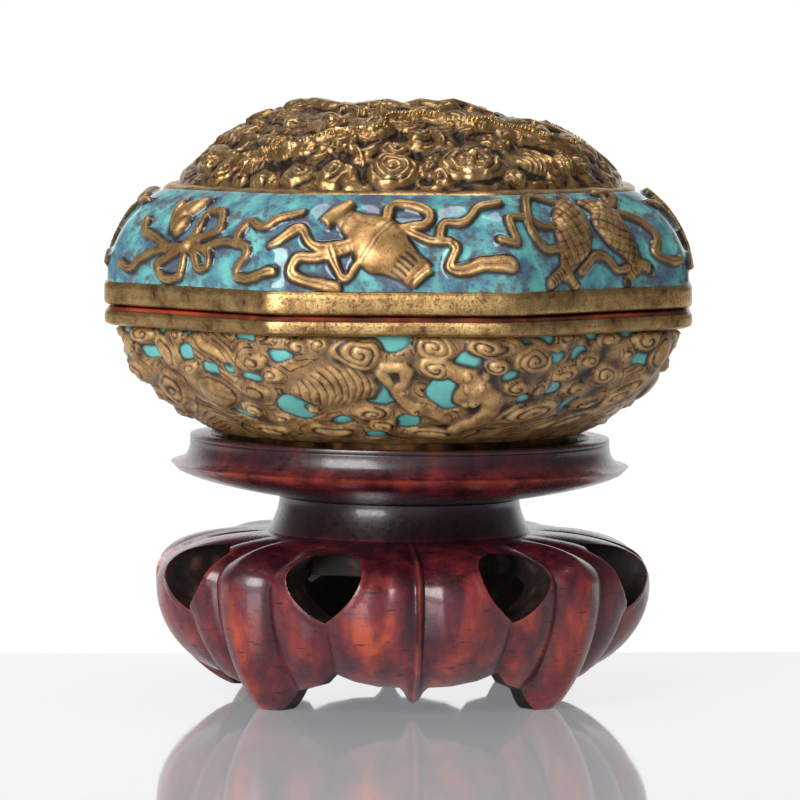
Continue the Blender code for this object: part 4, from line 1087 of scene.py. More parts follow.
def crosshatch(pitch):
    """Two sets of slanting lines: distance to the nearest."""
    def lines(along, side):
        nearest = np.minimum(off_line((along + side) / pitch), off_line((along - side) / pitch))
        return nearest * pitch * 0.7
    return lines


def bars(pitch):
    """Lines across a band: distance to the nearest."""
    return lambda along, side: off_line(along / pitch) * pitch


def ribbon(work, route, half_width=(RIBBON,), tall=0.95):
    """A flat ribbon with a groove along its middle."""
    work.cord(route, half_width, tall, power=4.0, groove=0.3)


def vase(work):
    """A sealed vase, leaning, with its mouth at the upper left, a belt round it and a fluted foot."""
    for route, widths in (
            ([(-0.32, -0.06), (-0.54, -0.12), (-0.68, -0.08), (-0.77, 0.05), (-0.90, 0.00), (-1.06, -0.10)],
             (0.05, 0.047, 0.045, 0.06, 0.03)),
            ([(-0.40, -0.14), (-0.60, -0.19), (-0.80, -0.23), (-0.86, -0.34), (-0.72, -0.42),
              (-0.49, -0.46)], (0.045, 0.047, 0.05, 0.06)),
            ([(-0.54, -0.12), (-0.51, -0.23), (-0.45, -0.36), (-0.37, -0.38), (-0.29, -0.25)], (RIBBON,)),
            ([(-0.06, 0.16), (-0.02, 0.29), (0.12, 0.31), (0.31, 0.22), (0.27, 0.10), (0.06, 0.06)],
             (0.05,)),
            ([(0.09, 0.05), (0.23, -0.01), (0.37, -0.05), (0.47, -0.07)], (RIBBON,)),
            ([(0.38, -0.04), (0.43, 0.09), (0.58, 0.12), (0.65, 0.20), (0.71, 0.29), (0.88, 0.35)],
             (RIBBON,)),
            ([(0.47, -0.07), (0.54, -0.13), (0.48, -0.28), (0.64, -0.30), (0.79, -0.24), (0.99, -0.28)],
             (0.045, 0.045, 0.05, 0.065, 0.075))):
        ribbon(work, route, widths)

    def vase_lines(along, side):
        share = along / (0.946 * panel_height)
        belt = np.abs(np.abs(share - 0.46) - 0.022) * panel_height
        fluted = (share > 0.72) & (share < 0.88)
        flutes = np.where(fluted, off_line(side / 0.9) * 0.55, FAR)
        rings_round = np.minimum(np.abs(share - 0.12), np.abs(share - 0.93)) * panel_height
        return np.minimum.reduce([belt, flutes, rings_round])

    work.cord([(-0.48, 0.21), (-0.11, -0.085), (0.26, -0.38)],
              (0.12, 0.12, 0.14, 0.21, 0.25, 0.255, 0.235, 0.195, 0.16, 0.14, 0.125), 1.75, power=2.0,
              lines=vase_lines, steep=1.0, square=True)
    work.cord([(-0.59, 0.09), (-0.47, 0.20), (-0.35, 0.35)], (0.07, 0.08, 0.05), 1.3, power=3.0,
              square=True)
    work.cord([(0.17, -0.44), (0.25, -0.37), (0.33, -0.30)], (0.035,), 1.25, power=3.0, square=True)


def pair_of_fish(work):
    """Two fish back to back on a ring, tails down."""
    for route in (
            [(-1.10, -0.05), (-0.96, -0.06), (-0.92, 0.17), (-0.75, 0.17), (-0.62, 0.08), (-0.44, 0.06)],
            [(-0.74, 0.16), (-0.64, 0.33), (-0.52, 0.42), (-0.34, 0.33)],
            [(-0.75, 0.14), (-0.74, -0.06), (-0.66, -0.15), (-0.46, -0.13)],
            [(-0.29, -0.33), (-0.12, -0.22), (0.04, -0.24), (0.12, -0.33), (0.26, -0.32)],
            [(0.30, 0.20), (0.47, 0.17), (0.64, 0.07), (0.72, -0.06), (0.65, -0.19), (0.78, -0.28),
             (0.94, -0.28)],
            [(0.32, 0.27), (0.44, 0.33), (0.42, 0.46), (0.28, 0.44)]):
        ribbon(work, route)
    work.cord([(-0.13, 0.37), (-0.22, 0.12), (-0.36, -0.14), (-0.49, -0.36)],
              (0.07, 0.17, 0.215, 0.20, 0.12, 0.06), 1.6, power=2.2, lines=crosshatch(1.7), steep=0.8)
    work.cord([(0.05, 0.32), (0.16, 0.24), (0.24, 0.02), (0.33, -0.18), (0.40, -0.34)],
              (0.05, 0.15, 0.20, 0.18, 0.11, 0.06), 1.55, power=2.2, lines=crosshatch(1.45), steep=0.8)
    for root, fin, width in (((-0.50, -0.32), (-0.66, -0.43), 0.06), ((-0.48, -0.32), (-0.37, -0.44), 0.05),
                             ((0.40, -0.30), (0.27, -0.43), 0.06), ((0.40, -0.30), (0.54, -0.34), 0.06)):
        work.cord([root, fin], (0.05, width), 0.9, power=2.5, lines=bars(0.7))
    work.knob((0.19, 0.27), 0.045, 0.3)
    work.knob((-0.16, 0.29), 0.04, 0.3)
    ribbon(work, [(0.32, 0.33), (0.36, 0.42), (0.44, 0.42), (0.46, 0.34), (0.38, 0.30)], (0.035,))


def lotus_bow(work):
    """A lotus bud tied with a bow of four loops."""
    for route in (
            [(-0.03, -0.15), (0.04, 0.02), (0.08, 0.19), (0.23, 0.18), (0.29, 0.02), (0.12, -0.06),
             (-0.03, -0.15)],
            [(-0.03, -0.15), (-0.22, -0.24), (-0.38, -0.33), (-0.26, -0.43), (-0.08, -0.42),
             (-0.04, -0.18)],
            [(-0.03, -0.15), (0.06, -0.22), (0.18, -0.34), (0.28, -0.30), (0.22, -0.18), (-0.03, -0.15)],
            [(0.12, -0.17), (0.40, -0.10), (0.64, -0.12), (0.74, -0.20), (0.65, -0.36), (0.80, -0.41),
             (1.06, -0.32)],
            [(0.58, -0.09), (0.57, 0.03), (0.66, 0.12), (0.84, 0.06), (0.93, 0.15), (1.08, 0.22)],
            [(-0.10, -0.16), (-0.42, -0.20), (-0.62, -0.28), (-0.72, -0.38), (-0.86, -0.32)],
            [(-0.30, -0.16), (-0.48, -0.08), (-0.64, -0.04), (-0.68, 0.08)]):
        ribbon(work, route)
    for x, y, long, wide, tilt in ((-0.24, 0.15, 0.20, 0.08, 66), (-0.14, 0.22, 0.17, 0.06, 48),
                                   (-0.33, 0.16, 0.16, 0.06, 92), (-0.20, 0.02, 0.12, 0.06, 60)):
        work.mound((x, y), long, wide, tilt, 1.3, 0.5)
    work.mound((-0.03, -0.15), 0.075, 0.075, 0, 1.4)


def endless_knot(work):
    """Loops woven each way, standing on a corner."""
    for step in (-0.16, 0.0, 0.16):
        ribbon(work, [(step - 0.2, step + 0.2), (step, step), (step + 0.2, step - 0.2)], (0.05,), 1.1)
        ribbon(work, [(step + 0.2, 0.2 - step), (step, -step), (step - 0.2, -0.2 - step)], (0.05,), 1.2)


def wheel(work):
    """A wheel with eight spokes and a round boss."""
    circle = [(0.28 * math.sin(t), 0.28 * math.cos(t)) for t in np.linspace(0, 2 * math.pi, 13)]
    for k in range(SIDES):
        turn = k * SIDE_ANGLE
        work.cord([(0.0, 0.0), (0.17 * math.sin(turn), 0.17 * math.cos(turn)),
                   (0.36 * math.sin(turn), 0.36 * math.cos(turn))], (0.045, 0.025, 0.035), 1.0, power=2.5)
    work.cord(circle, (0.05,), 1.2, power=3.0, groove=0.25)
    work.mound((0, 0), 0.1, 0.1, 0, 1.5)


def conch(work):
    """A conch shell lying on its side, with its spiral end at the left."""
    for k in range(5):
        work.mound((0.30 - 0.115 * k, 0.02), 0.10, 0.10 + 0.045 * k, 4, 0.9 + 0.15 * k, 0.5)
    work.curl((-0.19, 0.04), 0.19, 0.24, 0, 1.6, 1.0, 0.7)
    work.cord([(-0.22, -0.12), (-0.34, -0.25), (-0.28, -0.38)], (0.11, 0.08, 0.03), 1.1, power=2.5)


def parasol(work):
    """A parasol with a scalloped edge on a short pole."""
    work.cord([(0.0, 0.1), (0.0, -0.2), (0.0, -0.42)], (0.035, 0.035, 0.045), 1.0, power=2.5)
    work.cord([(-0.30, 0.06), (-0.16, 0.22), (0.0, 0.28), (0.16, 0.22), (0.30, 0.06)],
              (0.08, 0.12, 0.15, 0.12, 0.08), 1.4, power=2.2, lines=bars(1.1))
    for k in range(-2, 3):
        work.mound((0.135 * k, 0.02), 0.07, 0.10, 0, 1.25, 0.5)


def banner(work):
    """A victory banner: three hanging tiers under a small roof."""
    for k in range(3):
        x = 0.25 - 0.035 * k
        work.cord([(-x, 0.27 - 0.2 * k), (0.0, 0.30 - 0.2 * k), (x, 0.27 - 0.2 * k)],
                  (0.09, 0.11, 0.09), 1.5 - 0.15 * k, power=2.5, lines=bars(0.8))
    work.mound((0, -0.34), 0.07, 0.12, 0, 1.2)


TREASURES = [vase, pair_of_fish, endless_knot, wheel, conch, parasol, banner, lotus_bow]
EVENLY_TIED = TREASURES[2:7]
EVEN_RIBBONS = [
    [(0.25, 0.00), (0.42, 0.10), (0.58, 0.00), (0.72, 0.10), (0.80, 0.26), (0.96, 0.30)],
    [(0.50, 0.04), (0.56, -0.14), (0.48, -0.28), (0.64, -0.34), (0.82, -0.26), (0.98, -0.32)],
]

angle = around(SIDE_COLUMNS)
climbs = np.linspace(SIDE_CLIMB, 0.0, SIDE_ROWS)
skin = np.array([side_ring(angle, 0.0, share) for share in climbs])
normal = outward(skin)
runs = np.linalg.norm(np.roll(skin, -1, axis=1) - skin, axis=2)
travelled = np.cumsum(runs, axis=1) - runs
perimeter = runs.sum(axis=1, keepdims=True)
up = np.repeat((climbs - 0.5) * panel_height, SIDE_COLUMNS)
work = Carving(travelled.ravel(), up, skin.reshape(-1, 3), wander=0.2, unit=panel_height)
for side, treasure in enumerate(TREASURES):
    offset = travelled - side * perimeter / SIDES
    work.across = ((offset + perimeter / 2.0) % perimeter - perimeter / 2.0).ravel()
    if treasure in EVENLY_TIED:
        for route in EVEN_RIBBONS:
            ribbon(work, route)
            ribbon(work, [(-x, y) for x, y in route])
    treasure(work)
glaze_rise = 0.24 * np.exp(-np.maximum(-work.inside, 0.0) / 0.42)
ripple = 0.05 * waves(skin.reshape(-1, 3), 4.0, 23)
pooled = np.where(work.inside < 0.0, glaze_rise + ripple, 0.0)
height = spread_out(np.maximum(work.height, pooled).reshape(SIDE_ROWS, SIDE_COLUMNS), (1,))
edge_fade = part_of(SIDE_CLIMB - climbs, 0.03) * part_of(climbs, 0.02)
hollow = spread_out(height, (3, 5, 7)) - height
outer = skin + normal * (np.minimum(height, LID_RELIEF) * edge_fade[:, None])[:, :, None]
inner = [side_ring(angle, LID_WALL, share) for share in np.linspace(0.0, SIDE_CLIMB, 6)]
points, faces = body_through(np.concatenate([outer, inner]))
lid_sides = piece_of("lid_sides", turned(points), faces, 60.0)
note_relief(lid_sides, inside=work.inside, cut=work.line, wear=hollow)

# Fire-gilt cast bronze under a thick coloured glaze: wet turquoise, clouded and specked.
side_finish = gilt_and_glaze("gilt bronze under clouded glaze", light_share=0.0, mottle_share=0.9,
                             cobalt_share=0.9, bare_share=0.85, flank_shade_share=0.75)
lid_sides.data.materials.append(side_finish)
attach(lid_sides, "root")
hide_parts("lid")


# ---------------------------------------------------------------------------------------------
# The border of the dome. A plain gilt bead that frames the dome where the sides end, rounded over
# by hand.

angle = around(480)
rings = []
for share in np.linspace(0.0, 1.0, 13):
    turn = math.pi * share
    rings.append(soft_ring(angle, DOME_EDGE - 0.5 + (DOME_BORDER + 1.15) * (1.0 - math.cos(turn)) / 2.0,
                           DOME_BASE - 0.1 - 1.0 * share + 0.62 * DOME_BORDER * math.sin(turn), DOME_CORNERS))
rings = np.array(rings)
rings[:, :, 2] += 0.12 * waves(rings[6], 9.0, 29) * np.sin(np.linspace(0, math.pi, 13))[:, None]
below = [soft_ring(angle, DOME_EDGE + DOME_BORDER - 0.4, DOME_BASE - 1.6, DOME_CORNERS),
         soft_ring(angle, DOME_EDGE - 0.5, DOME_BASE - 1.6, DOME_CORNERS)]
points, faces = body_through(np.concatenate([rings, below]))
border = piece_of("dome_border", turned(points), faces, 60.0)
border.data.materials.append(pitted_gilt)
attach(border, "root")
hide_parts("lid")


# ---------------------------------------------------------------------------------------------
# The dome. Deeply cast and chased bronze, gilt all over: curling clouds, and a scaled dragon that
# winds among them up to the crown. The gaps between them are deep and black, with old grime and
# painted shade.

DOME_RISE = 11.1
DOME_FULLNESS = 2.8
DOME_RELIEF = 2.2
DOME_GRID = 296
TENDRILS = 120
SMALL_KNOBS = 200
CROWN_HALF_DEPTH = 9.0
CROWN_CORNERS = 4.0
DOME_FOOT_CORNERS = 30.0

# Millimetres to the right and to the back of the dome's middle, half length, half width, tilt and
# height. The clouds in front are placed one by one, the others in rings.
dome_clouds = [
    (-0.4, -30.2, 4.3, 3.1, 0, 2.0), (-0.2, -26.6, 2.4, 1.6, 0, 1.6), (-8.6, -30.4, 2.9, 2.0, 0, 1.5),
    (4.7, -29.6, 1.5, 1.5, 0, 1.2), (6.4, -31.4, 1.8, 1.3, 0, 1.4), (10.9, -28.4, 4.9, 3.4, 20, 2.1),
    (-5.4, -27.6, 1.7, 1.0, 0, 1.1), (-14.6, -29.3, 2.6, 1.8, -12, 1.5), (-19.6, -25.9, 2.3, 1.8, -30, 1.5),
    (-25.4, -18.6, 2.3, 1.8, -50, 1.4), (17.6, -27.0, 2.4, 1.6, 30, 1.5), (-11.6, -26.9, 2.0, 1.4, 0, 1.2),
    (-23.6, -22.6, 1.6, 1.2, -40, 1.3), (22.4, -24.0, 2.0, 1.5, 40, 1.4),
]
for k in range(20):
    turn = math.radians(48.0 + 13.7 * k)
    size = 3.3 if k % 2 else 2.1
    reach = DOME_EDGE * (0.885 if k % 2 else 0.93)
    dome_clouds.append((reach * math.sin(turn), -reach * math.cos(turn), size, 0.72 * size,
                        math.degrees(turn), 1.35 if k % 2 else 1.1))
for reach, count, size, start in ((0.72, 13, 2.7, 0.3), (0.54, 10, 2.5, 0.0), (0.34, 7, 2.3, 0.4),
                                  (0.13, 3, 2.0, 0.1)):
    for k in range(count):
        turn = (k + start) * 2.0 * math.pi / count
        swelled = size * (1.0 + 0.2 * math.sin(5.0 * k + 1.0))
        dome_clouds.append((DOME_EDGE * reach * math.sin(turn), -DOME_EDGE * reach * math.cos(turn),
                            swelled, 0.75 * swelled, math.degrees(turn), 1.15))

# The dragon's back from its tail to its neck, and the gaps that are cut deepest.
DRAGON_BACK = [(-28.1, -5.4), (-23.4, -17.4), (-14.3, -22.8), (-9.4, -21.9), (-2.9, -22.0), (-1.1, -18.3),
               (4.0, -16.2), (10.3, -16.6), (16.4, -14.6), (20.8, -13.2), (26.1, -9.4), (24.1, 4.7),
               (14.1, 15.4), (0.7, 16.8), (-11.4, 10.7), (-12.0, -0.7), (-3.3, -5.4), (4.0, -2.0)]
DARK_GAPS = [(-8.7, -24.9, 3.2, 1.6, 10), (2.6, -22.6, 3.4, 1.9, -8), (19.6, -24.2, 3.0, 1.5, 30),
             (4.9, -31.8, 1.2, 0.9, 0), (-18.0, 14.0, 3.0, 1.6, 40), (12.0, 24.0, 3.0, 1.6, 20),
             (25.0, -2.0, 1.6, 3.0, 0), (-26.0, 4.0, 1.6, 3.0, 10), (-4.0, -11.5, 4.0, 1.6, 0),
             (9.0, -10.5, 4.0, 1.6, 10)]


def dome_height(share):
    """Height of the dome under its relief, at a share of the way out to its edge."""
    return DOME_BASE + DOME_RISE * (1.0 - share ** DOME_FULLNESS)


# Height of the crown's ridge from left to right, where the dragon's head and coils rear up.
CROWN = [(-33.5, 79.2), (-30.3, 81.8), (-27.4, 85.0), (-24.8, 86.4), (-22.6, 88.1), (-20.7, 88.8),
         (-18.3, 89.9), (-15.4, 90.7), (-13.5, 90.7), (-9.3, 90.1), (-7.6, 89.8), (-2.1, 90.6), (0.5, 90.0),
         (2.9, 90.7), (5.5, 90.3), (7.9, 90.7), (9.8, 90.1), (13.7, 88.7), (16.5, 87.6), (19.4, 87.7),
         (22.2, 86.9), (25.1, 85.6), (28.5, 83.8), (31.3, 81.6), (33.5, 79.2)]


def carve_dome(x, y, points):
    """Clouds and the gaps between them first, then curling tendrils and shells, the dragon, the lumps
    along the crown and the small knobs."""
    work = Carving(x, y, points, wander=0.4)
    reared = np.interp(x, *np.array(CROWN).T) - dome_height(np.minimum(np.abs(x) / DOME_EDGE, 1.0))
    mass = np.clip(reared, 0.0, 3.4) * bell(y, 7.0)
    work.height += 0.45 + 0.25 * waves(points, 4.0, 31)
    work.inside[:] = BARE_METAL
    for k, (cx, cy, long, wide, tilt, tall) in enumerate(dome_clouds):
        work.curl((cx, cy), long, wide, tilt, tall, 1.0 if k % 2 else -1.0, 0.8)
    work.flow_lines(0.8, 0.16, work.height > 0.0)
    for cx, cy, long, wide, tilt in DARK_GAPS:
        here, a, b, out, size = work.oval((cx, cy), long, wide, tilt)
        work.height[here] *= 1.0 - domed(out, 2, 1)
    random = np.random.default_rng(41)
    for _ in range(TENDRILS):
        reach, turn = DOME_EDGE * math.sqrt(random.uniform(0.01, 0.66)), random.uniform(0, 2 * math.pi)
        cx, cy = reach * math.sin(turn), -reach * math.cos(turn)
        lean = turn + random.normal(0.0, 0.6)
        long, bend = random.uniform(2.6, 5.0), random.choice([-1.0, 1.0]) * random.uniform(0.5, 1.1)
        route = [(cx, cy)]
        for _ in range(4):
            route.append((route[-1][0] + 0.3 * long * math.cos(lean),
                          route[-1][1] + 0.3 * long * math.sin(lean)))
            lean += 0.6 * bend
        wide = random.uniform(0.8, 1.3)
        work.cord(route, (0.6 * wide, wide, 0.9 * wide, 0.6 * wide, 0.25 * wide), random.uniform(1.2, 2.0),
                  power=2.4, lines=lambda along, side: np.abs(np.abs(side) - 0.33))
    for cx, cy, long, wide, tilt in ((20.6, -20.6, 4.0, 2.4, 40), (24.4, -17.4, 3.4, 2.0, 50),
                                     (-21.4, -21.0, 2.8, 1.9, -45), (-27.6, -12.4, 2.6, 1.8, -70),
                                     (16.0, 20.0, 3.8, 2.3, -30), (-17.0, 19.0, 3.6, 2.2, 40)):
        work.ribbed((cx, cy), long, wide, tilt, 1.7, 0.8)
    work.cord(DRAGON_BACK, (1.0, 2.0, 2.5, 2.8, 2.9, 2.8, 2.3), 2.0, power=2.2, lines=scales(1.15, 1.2))
    work.mound((4.7, -1.3), 4.6, 3.2, 20, 2.0, 0.5)
    work.height[np.abs(y) < 7.0] *= 0.8
    for cx, cy, long, wide, tall in ((-15.2, -0.7, 2.6, 2.0, 1.7), (-10.6, -1.4, 2.2, 1.8, 1.4),
                                     (-20.4, -0.6, 2.2, 1.8, 1.5), (-2.2, -0.9, 2.4, 1.7, 1.5),
                                     (2.9, -1.6, 1.7, 1.5, 1.7), (8.0, -0.7, 2.3, 1.7, 1.6),
                                     (-24.6, -1.5, 1.8, 1.7, 1.4), (19.8, -1.0, 2.0, 1.6, 1.5),
                                     (-6.4, 0.4, 1.6, 1.4, 1.1), (12.6, 0.2, 2.2, 1.4, 1.4),
                                     (25.4, -1.4, 1.7, 1.6, 1.4)):
        work.mound((cx, cy), long, wide, 0, tall, 0.45)
    work.cord([(4.2, -0.4), (8.0, 0.4), (13.5, 1.4)], (0.9, 1.1, 0.6), 1.8, power=2.0)
    work.cord(DRAGON_BACK[1:13], (0.4, 0.55, 0.5, 0.4), 2.35, power=2.0)
    for _ in range(SMALL_KNOBS):
        reach, turn = DOME_EDGE * math.sqrt(random.uniform(0.0, 0.72)), random.uniform(0, 2 * math.pi)
        work.knob((reach * math.sin(turn), -reach * math.cos(turn)), random.uniform(0.5, 0.95),
                  random.uniform(0.3, 0.6))
    for cx, cy in ((10.2, -29.3), (12.6, -28.6), (11.0, -27.2), (13.4, -30.2), (8.6, -27.4), (12.6, -26.0),
                   (14.4, -26.8), (9.4, -25.2)):
        work.knob((cx, cy), 0.75, 0.5)
    work.height += 0.5 * mass + 0.1 * waves(points, 1.6, 33)
    return work


# A square grid bent to the dome's outline: each square round its middle becomes a ring.
u, v = np.meshgrid(*[np.linspace(-1.0, 1.0, DOME_GRID + 1)] * 2, indexing="ij")
share = np.maximum(np.abs(u), np.abs(v))
slant_u, slant_v = (0.25 * math.pi * way / np.where(share > 0.0, share, 1.0) for way in (u, v))
frontwise = np.where(v <= 0.0, slant_u, math.pi - slant_u)
sidewise = np.where(u >= 0.0, 0.5 * math.pi + slant_v, -0.5 * math.pi - slant_v)
turn = np.where(np.abs(v) >= np.abs(u), frontwise, sidewise)
spread = np.empty(share.shape)
for level in np.unique(np.round(share, 6)):
    same = np.abs(share - level) < 1e-6
    spread[same] = corner_spread(turn[same], CROWN_CORNERS + (DOME_FOOT_CORNERS - CROWN_CORNERS) * level ** 3)
skin = round_ring(turn.ravel(), (DOME_EDGE * share * spread).ravel(), dome_height(share).ravel())
skin = skin.reshape(*share.shape, 3)
normal = np.cross(np.gradient(skin, axis=0), np.gradient(skin, axis=1))
normal /= np.linalg.norm(normal, axis=2, keepdims=True) + 1e-12
work = carve_dome(skin[:, :, 0].ravel(), skin[:, :, 1].ravel(), skin.reshape(-1, 3))
fade = part_of(1.0 - share, 0.03)
height = work.height.reshape(share.shape)
hollow = spread_out(height, (2, 4, 6, 8), whole=False) - height
outer = skin + normal * (np.minimum(height, 1.5 * DOME_RELIEF) * fade)[:, :, None]
highest = np.interp(outer[:, :, 0], *np.array(CROWN).T) + 0.05
crown = np.abs(outer[:, :, 1]) < CROWN_HALF_DEPTH
outer[:, :, 2] = np.where(crown, np.minimum(outer[:, :, 2], highest), outer[:, :, 2])
index = np.arange(outer.shape[0] * outer.shape[1]).reshape(share.shape)
faces = np.stack([index[:-1, :-1], index[1:, :-1], index[1:, 1:], index[:-1, 1:]], axis=2)
faces = faces.reshape(-1, 4).tolist()
rim = np.concatenate([index[:-1, 0], index[-1, :-1], index[:0:-1, -1], index[0, :0:-1]])
points = outer.reshape(-1, 3)
for inset, drop in ((0.99, 1.8), (0.5, None)):
    ring = points[rim] * np.array([inset, inset, 1.0])
    ring[:, 2] = DOME_BASE - drop if drop else dome_height(0.5) - LID_WALL
    lower = np.arange(len(points), len(points) + len(rim))
    points = np.vstack([points, ring])
    faces.extend(np.stack([rim, lower, np.roll(lower, -1), np.roll(rim, -1)], axis=1).tolist())
    rim = lower
points = np.vstack([points, [(0.0, 0.0, dome_height(0.0) - LID_WALL)]])
faces.extend(np.stack([np.full(len(rim), len(points) - 1), np.roll(rim, -1), rim], axis=1).tolist())
dome = piece_of("dome", turned(points), faces, 60.0)
note_relief(dome, cut=work.line, wear=hollow)

# Fire-gilt cast bronze, darkened by age: brilliant on the crests, rubbed and with a painted
# highlight, and black between them with grime and painted shade.
dome_gilt, tree, place = begin("dark fire-gilt bronze")
cut, wear = [add(tree, "ShaderNodeAttribute", attribute_name=noted).outputs["Fac"]
             for noted in ("cut", "wear")]
colour, rough, grime_and_shade, speck = gilding(tree, place, wear, cut, 0.34)
smoke = add(tree, "ShaderNodeTexNoise", (place, per_metre(1.3), 5.0, 0.7))
dark = add(tree, "ShaderNodeMapRange", (smoke, 0.48, 0.62, 0.0, 0.5))
colour = add(tree, "ShaderNodeMix", (dark, colour, "#3a2820"), data_type="RGBA")
shine = add(tree, "ShaderNodeMath", (1.0, grime_and_shade), operation="SUBTRACT")
bump = add(tree, "ShaderNodeBump", {"Height": speck, "Strength": 0.5, "Distance": 0.05 * MM})
shine = add(tree, "ShaderNodeMath", (shine, 0.9), operation="MULTIPLY")
shader = add(tree, "ShaderNodeBsdfPrincipled", {"Base Color": colour, "Metallic": shine, "Roughness": 0.3,
                                                "Specular IOR Level": 0.2, "Normal": bump})
add(tree, "ShaderNodeOutputMaterial", {"Surface": shader})
dome.data.materials.append(dome_gilt)
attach(dome, "root")
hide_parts("lid")


# ---------------------------------------------------------------------------------------------
# The beads along the dragon's back. A row of small spines, punched up in the wax before casting,
# that follows the back from the tail to the neck.

BEAD_SPACING = 0.62
BEAD_RADIUS = 0.27
SMALLEST_BEAD = 0.7
LARGEST_BEAD = 1.15
BEAD_SEED = 7

# Gilt bronze, rubbed bright on the small points.
bead_gilt, tree, place = begin("rubbed gilt bronze")
patch = add(tree, "ShaderNodeTexNoise", (place, per_metre(1.5), 4.0))
gold = add(tree, "ShaderNodeValToRGB", {"Fac": patch}, stops=[
    (0.35, "#74522f"), (0.5, "#b08d55"), (0.68, "#d9b878")])
shader = add(tree, "ShaderNodeBsdfPrincipled", {"Base Color": gold, "Metallic": 1.0, "Roughness": 0.3})
add(tree, "ShaderNodeOutputMaterial", {"Surface": shader})

beads = bpy.data.node_groups.new("beads along a back", "GeometryNodeTree")
beads.interface.new_socket("Back", in_out="INPUT", socket_type="NodeSocketGeometry")
for name in ("Spacing", "Radius"):
    beads.interface.new_socket(name, in_out="INPUT", socket_type="NodeSocketFloat")
beads.interface.new_socket("Finish", in_out="INPUT", socket_type="NodeSocketMaterial")
beads.interface.new_socket("Beads", in_out="OUTPUT", socket_type="NodeSocketGeometry")
given = add(beads, "NodeGroupInput")
path = add(beads, "GeometryNodeMeshToCurve", {"Mesh": given.outputs["Back"]})
spots = add(beads, "GeometryNodeCurveToPoints", {"Curve": path, "Length": given.outputs["Spacing"]},
            mode="LENGTH")
bead = add(beads, "GeometryNodeMeshUVSphere", {"Segments": 8, "Rings": 5, "Radius": given.outputs["Radius"]})
smooth = add(beads, "GeometryNodeSetShadeSmooth", {"Geometry": bead})
sizes = add(beads, "FunctionNodeRandomValue", {2: SMALLEST_BEAD, 3: LARGEST_BEAD, "Seed": BEAD_SEED},
            data_type="FLOAT")
placed = add(beads, "GeometryNodeInstanceOnPoints", {"Points": spots, "Instance": smooth, "Scale": sizes})
real = add(beads, "GeometryNodeRealizeInstances", {"Geometry": placed})
dressed = add(beads, "GeometryNodeSetMaterial", {"Geometry": real, "Material": given.outputs["Finish"]})
add(beads, "NodeGroupOutput", {"Beads": dressed})

back = smooth_route(DRAGON_BACK[1:14], 10)
nearest = [int(np.argmin((skin[:, :, 0] - x) ** 2 + (skin[:, :, 1] - y) ** 2)) for x, y in back]
back_points = outer.reshape(-1, 3)[nearest]
back_mesh = bpy.data.meshes.new("dragon back")
back_mesh.from_pydata((turned(back_points) * MM).tolist(), [(i, i + 1) for i in range(len(back) - 1)], [])
spine_beads = bpy.data.objects.new("dragon_spine_beads", back_mesh)
bpy.context.scene.collection.objects.link(spine_beads)
make_beads = spine_beads.modifiers.new("beads", "NODES")
make_beads.node_group = beads
sockets = {item.name: item.identifier for item in beads.interface.items_tree if item.in_out == "INPUT"}
make_beads[sockets["Spacing"]] = BEAD_SPACING * MM
make_beads[sockets["Radius"]] = BEAD_RADIUS * MM
make_beads[sockets["Finish"]] = bead_gilt
as_plain_mesh(spine_beads)
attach(spine_beads, "root")
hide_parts("lid")


# ---------------------------------------------------------------------------------------------
# The table, the lights and the camera. A sheet of polished acrylic that mirrors the box and ends in
# bare light, a soft box at the front left and one overhead, a bright ground behind, and a long lens.

TABLE_REACH = 3000.0
TABLE_BACK = 53.0
TABLE_EDGE = 1.5
TABLE_GLOW = 0.42
ACRYLIC_IOR = 1.62

corners = [(x * TABLE_REACH, y * TABLE_REACH, 0.0) for x, y in ((-1, -1), (1, -1), (1, 1), (-1, 1))]
table = piece_of("table", corners, [(0, 1, 2, 3)])

# White acrylic sheet, polished: pale grey with a clear mirror image, and bare light beyond its edge.
acrylic, tree, place = begin("polished white acrylic")
parts = add(tree, "ShaderNodeSeparateXYZ", {"Vector": place})
far = add(tree, "ShaderNodeMapRange", (parts.outputs["Y"], TABLE_BACK * MM,
                                       (TABLE_BACK + TABLE_EDGE) * MM))
streaked = add(tree, "ShaderNodeMapping", {"Vector": place, "Scale": (0.2, 1.0, 1.0)})
streaks = add(tree, "ShaderNodeTexNoise", (streaked, per_metre(3.0), 3.0))
rough = add(tree, "ShaderNodeMapRange", (streaks, 0.3, 0.7, 0.03, 0.07))
matt = add(tree, "ShaderNodeBsdfDiffuse", {"Color": "#7c7c7e"})
lit = add(tree, "ShaderNodeEmission", {"Color": "#fafcff", "Strength": TABLE_GLOW})
sheet = add(tree, "ShaderNodeAddShader", (matt, lit))
mirror = add(tree, "ShaderNodeBsdfGlossy", {"Color": "#ffffff", "Roughness": rough})
facing = add(tree, "ShaderNodeFresnel", {"IOR": ACRYLIC_IOR})
top = add(tree, "ShaderNodeMixShader", (facing, sheet, mirror))
ground = add(tree, "ShaderNodeEmission", {"Color": "#ffffff", "Strength": 1.0})
whole = add(tree, "ShaderNodeMixShader", (far, top, ground))
add(tree, "ShaderNodeOutputMaterial", {"Surface": whole})
table.data.materials.append(acrylic)

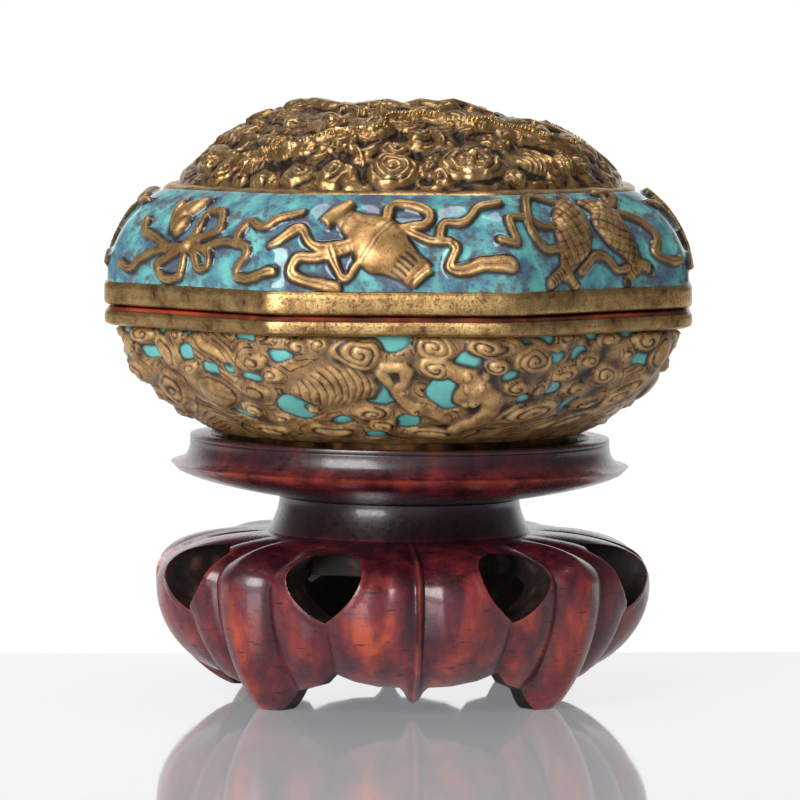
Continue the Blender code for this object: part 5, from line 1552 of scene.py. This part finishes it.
world = bpy.data.worlds.new("studio")
bpy.context.scene.world = world
world.use_nodes = True
tree = world.node_tree
tree.nodes.clear()
direction = add(tree, "ShaderNodeTexCoord").outputs["Generated"]
parts = add(tree, "ShaderNodeSeparateXYZ", {"Vector": direction})
behind = add(tree, "ShaderNodeMapRange", (parts.outputs["Y"], 0.6, 0.95, 0.17, 1.2),
             interpolation_type="SMOOTHSTEP")
before = add(tree, "ShaderNodeMapRange", (parts.outputs["Y"], -0.78, -0.95, 0.0, 0.35),
             interpolation_type="SMOOTHSTEP")
both = add(tree, "ShaderNodeMath", (behind, before), operation="ADD")
seen = add(tree, "ShaderNodeLightPath").outputs["Is Camera Ray"]
level = add(tree, "ShaderNodeMix", (seen, both, 1.0), data_type="FLOAT")
sky = add(tree, "ShaderNodeBackground", {"Color": "#ffffff", "Strength": level})
add(tree, "ShaderNodeOutputWorld", {"Surface": sky})

TARGET = Vector((0.0, 0.0, 0.05))


def soft_box(name, azimuth, elevation, distance, width, height, power):
    """A rectangular light aimed at the box. The azimuth runs from the front to +X, in degrees."""
    light = bpy.data.lights.new(name, "AREA")
    light.shape = "RECTANGLE"
    light.size, light.size_y, light.energy = width, height, power
    lamp = bpy.data.objects.new(name, light)
    turn, lift = math.radians(azimuth), math.radians(elevation)
    way = Vector((math.sin(turn) * math.cos(lift), -math.cos(turn) * math.cos(lift), math.sin(lift)))
    lamp.location = TARGET + way * distance
    lamp.rotation_euler = way.to_track_quat("Z", "Y").to_euler()
    bpy.context.scene.collection.objects.link(lamp)


soft_box("key_light", azimuth=-31.0, elevation=21.0, distance=0.7, width=0.34, height=0.5, power=5.8)
soft_box("top_light", azimuth=-10.0, elevation=88.0, distance=0.7, width=0.5, height=0.2, power=1.6)

CAMERA_PLACE = Vector((-0.0548, -0.8961, 0.108))
CAMERA_AIM = Vector((0.0, 0.0, 0.0448))
CAMERA_LENS = 266.1
CAMERA_ROLL = math.radians(0.3)

camera = bpy.data.objects.new("camera", bpy.data.cameras.new("camera"))
camera.data.sensor_width = 36.0
camera.data.lens = CAMERA_LENS
camera.location = CAMERA_PLACE
camera.rotation_euler = (CAMERA_AIM - CAMERA_PLACE).to_track_quat("-Z", "Y").to_euler()
camera.rotation_euler.rotate_axis("Z", CAMERA_ROLL)
bpy.context.scene.collection.objects.link(camera)
bpy.context.scene.camera = camera
bpy.context.scene.view_settings.view_transform = "Standard"
